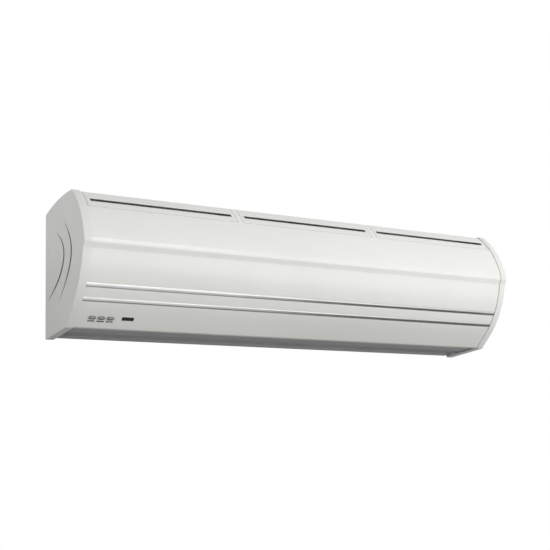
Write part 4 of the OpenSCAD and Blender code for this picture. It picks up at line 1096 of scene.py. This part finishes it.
def make_marks():
    """Printed marks under the buttons: a word or a number between two dashes."""
    bm = bmesh.new()
    for name, words in MARKS.items():
        part = bmesh.new()
        part.from_mesh(printed_text(words, MARK_HEIGHT))
        bmesh.ops.remove_doubles(part, verts=part.verts, dist=1e-7)
        reach = max(v.co.x for v in part.verts)
        start = reach + MARK_GAP
        for side in (-1, 1):
            dash = Matrix.Translation((side * (start + MARK_LENGTH / 2) / 2, 0, 0))
            box(part, dash, MARK_LENGTH / 2 - start, MARK_HEIGHT * MARK_DASH, 2 * MARK_LIFT)
        place = panel_matrix(BUTTON_X[name], BUTTON_UP - MARK_DROP, MARK_LIFT)
        bmesh.ops.transform(part, matrix=place, verts=part.verts)
        flat = bpy.data.meshes.new("marks")
        part.to_mesh(flat)
        part.free()
        bm.from_mesh(flat)
    obj = piece(bm, "button_marks", MARK_GREY)
    hand_over(obj, "housing", "window_black")


# ---------- outlet ----------


def eased_copy(node, name, body, slot_name, material):
    """A joined-up copy of a CAD node, with its edges eased."""
    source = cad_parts[node]
    bm = bmesh.new()
    bm.from_mesh(source.data)
    bmesh.ops.transform(bm, matrix=source.matrix_world, verts=bm.verts)
    bmesh.ops.remove_doubles(bm, verts=bm.verts, dist=1e-6)
    bmesh.ops.dissolve_limit(bm, angle_limit=math.radians(0.5), verts=bm.verts, edges=bm.edges)
    obj = piece(bm, name, material)
    ease_edges(obj, OUTLET_EDGE, 2, 50)
    settle(obj, 40)
    hand_over(obj, body, slot_name, node)


# ---------- the whole unit ----------

finish_nodes()
make_casing()
make_casing_screws()
for grille_name, grille_start in zip(("grille_left", "grille_centre", "grille_right"), GRILLE_STARTS):
    make_grille(grille_name, grille_start)
for trim_name in TRIM_HEIGHTS:
    make_trim(trim_name)
make_end_cap("left", -1)
make_end_cap("right", 1)
for button_name in BUTTON_X:
    make_button(button_name)
make_window()
make_marks()
eased_copy("outlet_frame", "outlet_duct", "housing", "outlet_grey", OUTLET_GREY)
eased_copy("vane_carriers", "vane_bearers", "housing", "carrier_white", CARRIER_WHITE)
for blade in ("front", "middle", "rear"):
    eased_copy("vane_" + blade, "louvre_" + blade, "vane_" + blade, "vane_grey", VANE_GREY)

# ---------- floor, light and camera ----------


def make_floor():
    """A wide pale floor far below the unit, nearly white where it is seen directly."""
    bm = bmesh.new()
    bmesh.ops.create_circle(bm, cap_ends=True, segments=96, radius=FLOOR_RADIUS,
                            matrix=Matrix.Translation((0, 0, FLOOR_Z)))
    finish = Finish("floor_paper", Roughness=0.9)
    finish.colours(finish.noise(3.0), (0.50, 0.50, 0.50), (0.52, 0.52, 0.52))
    glow = finish.add("ShaderNodeEmission")
    mixed = finish.add("ShaderNodeMixShader")
    rays = finish.add("ShaderNodeLightPath")
    shares = finish.add("ShaderNodeMath", operation="ADD")
    glows = (("Is Camera Ray", FLOOR_GLOW), ("Is Glossy Ray", FLOOR_MIRRORED))
    for k, (ray, glow_share) in enumerate(glows):
        share = finish.add("ShaderNodeMapRange")
        share.inputs["To Max"].default_value = glow_share
        finish.link(rays.outputs[ray], share.inputs["Value"])
        finish.link(share.outputs["Result"], shares.inputs[k])
    finish.link(shares.outputs["Value"], mixed.inputs["Fac"])
    finish.link(finish.shader.outputs["BSDF"], mixed.inputs[1])
    finish.link(glow.outputs["Emission"], mixed.inputs[2])
    finish.link(mixed.outputs["Shader"], finish.tree.nodes["Material Output"].inputs["Surface"])
    obj = piece(bm, "floor", finish.material)


def make_flags():
    """Dark cards beside and behind the unit, which only mirrored rays see."""
    finish = Finish("flag_card", Roughness=1.0)
    finish.colours(finish.noise(2.0), (0.12, 0.12, 0.12), (0.15, 0.15, 0.15))
    for name, (middle, size, tilt) in FLAGS.items():
        bm = bmesh.new()
        height = FLOOR_Z + FLAG_LIFT + math.sin(math.radians(tilt)) * size[1] / 2
        place = (Matrix.Translation((*middle, height)) @ Matrix.Rotation(math.radians(tilt), 4, "X")
                 @ Matrix.Diagonal((*size, 1, 1)))
        bmesh.ops.create_grid(bm, x_segments=1, y_segments=1, size=0.5, matrix=place)
        obj = piece(bm, name, finish.material)
        obj.visible_camera = False
        obj.visible_diffuse = False
        obj.visible_transmission = False
        obj.visible_shadow = False


def make_world():
    """White where it is seen directly or mirrored, dimmer as light on the object."""
    world = bpy.data.worlds.new("room")
    bpy.context.scene.world = world
    world.use_nodes = True
    tree = world.node_tree
    background = tree.nodes["Background"]
    background.inputs["Color"].default_value = (1, 1, 1, 1)
    rays = tree.nodes.new("ShaderNodeLightPath")
    seen = tree.nodes.new("ShaderNodeMath")
    seen.operation = "MAXIMUM"
    tree.links.new(rays.outputs["Is Camera Ray"], seen.inputs[0])
    tree.links.new(rays.outputs["Is Transmission Ray"], seen.inputs[1])
    mirrored = tree.nodes.new("ShaderNodeMath")
    mirrored.operation = "MAXIMUM"
    tree.links.new(seen.outputs["Value"], mirrored.inputs[0])
    tree.links.new(rays.outputs["Is Glossy Ray"], mirrored.inputs[1])
    strength = tree.nodes.new("ShaderNodeMapRange")
    strength.inputs["To Min"].default_value = ROOM_LIGHT
    strength.inputs["To Max"].default_value = 1.0
    tree.links.new(mirrored.outputs["Value"], strength.inputs["Value"])
    tree.links.new(strength.outputs["Result"], background.inputs["Strength"])


def make_lamps():
    """Soft panels of light: some shine on surfaces, the others only show in glossy ones."""
    for name, (place, target, size, power) in LAMPS.items():
        light = bpy.data.lights.new(name, "AREA")
        light.shape = "RECTANGLE"
        light.size, light.size_y = size
        light.energy = power
        obj = bpy.data.objects.new(name, light)
        obj.visible_glossy = name in GLOSS_LAMPS
        obj.visible_diffuse = name not in GLOSS_LAMPS
        turn = (Vector(target) - Vector(place)).to_track_quat("-Z", "Y")
        obj.matrix_world = Matrix.Translation(place) @ turn.to_matrix().to_4x4()
        bpy.context.scene.collection.objects.link(obj)


def make_camera():
    """The photograph's view: from the left, a little below the unit, tilted up and rolled."""
    yaw, pitch, roll = (math.radians(a) for a in CAMERA_ANGLES)
    ahead = Vector((math.sin(yaw), math.cos(yaw), 0))
    forward = ahead * math.cos(pitch) + Vector((0, 0, math.sin(pitch)))
    level = Vector((math.cos(yaw), -math.sin(yaw), 0))
    down = forward.cross(level)
    right = level * math.cos(roll) + down * math.sin(roll)
    up = level * math.sin(roll) - down * math.cos(roll)
    camera = bpy.data.cameras.new("camera")
    camera.lens = CAMERA_LENS
    camera.sensor_width = 36
    camera.clip_end = 100
    obj = bpy.data.objects.new("camera", camera)
    turn = Matrix((right, up, -forward)).transposed()
    obj.matrix_world = Matrix.Translation(CAMERA_PLACE) @ turn.to_4x4()
    bpy.context.scene.collection.objects.link(obj)
    bpy.context.scene.camera = obj


make_floor()
make_world()
make_flags()
make_lamps()
make_camera()
bpy.context.scene.view_settings.view_transform = "Standard"
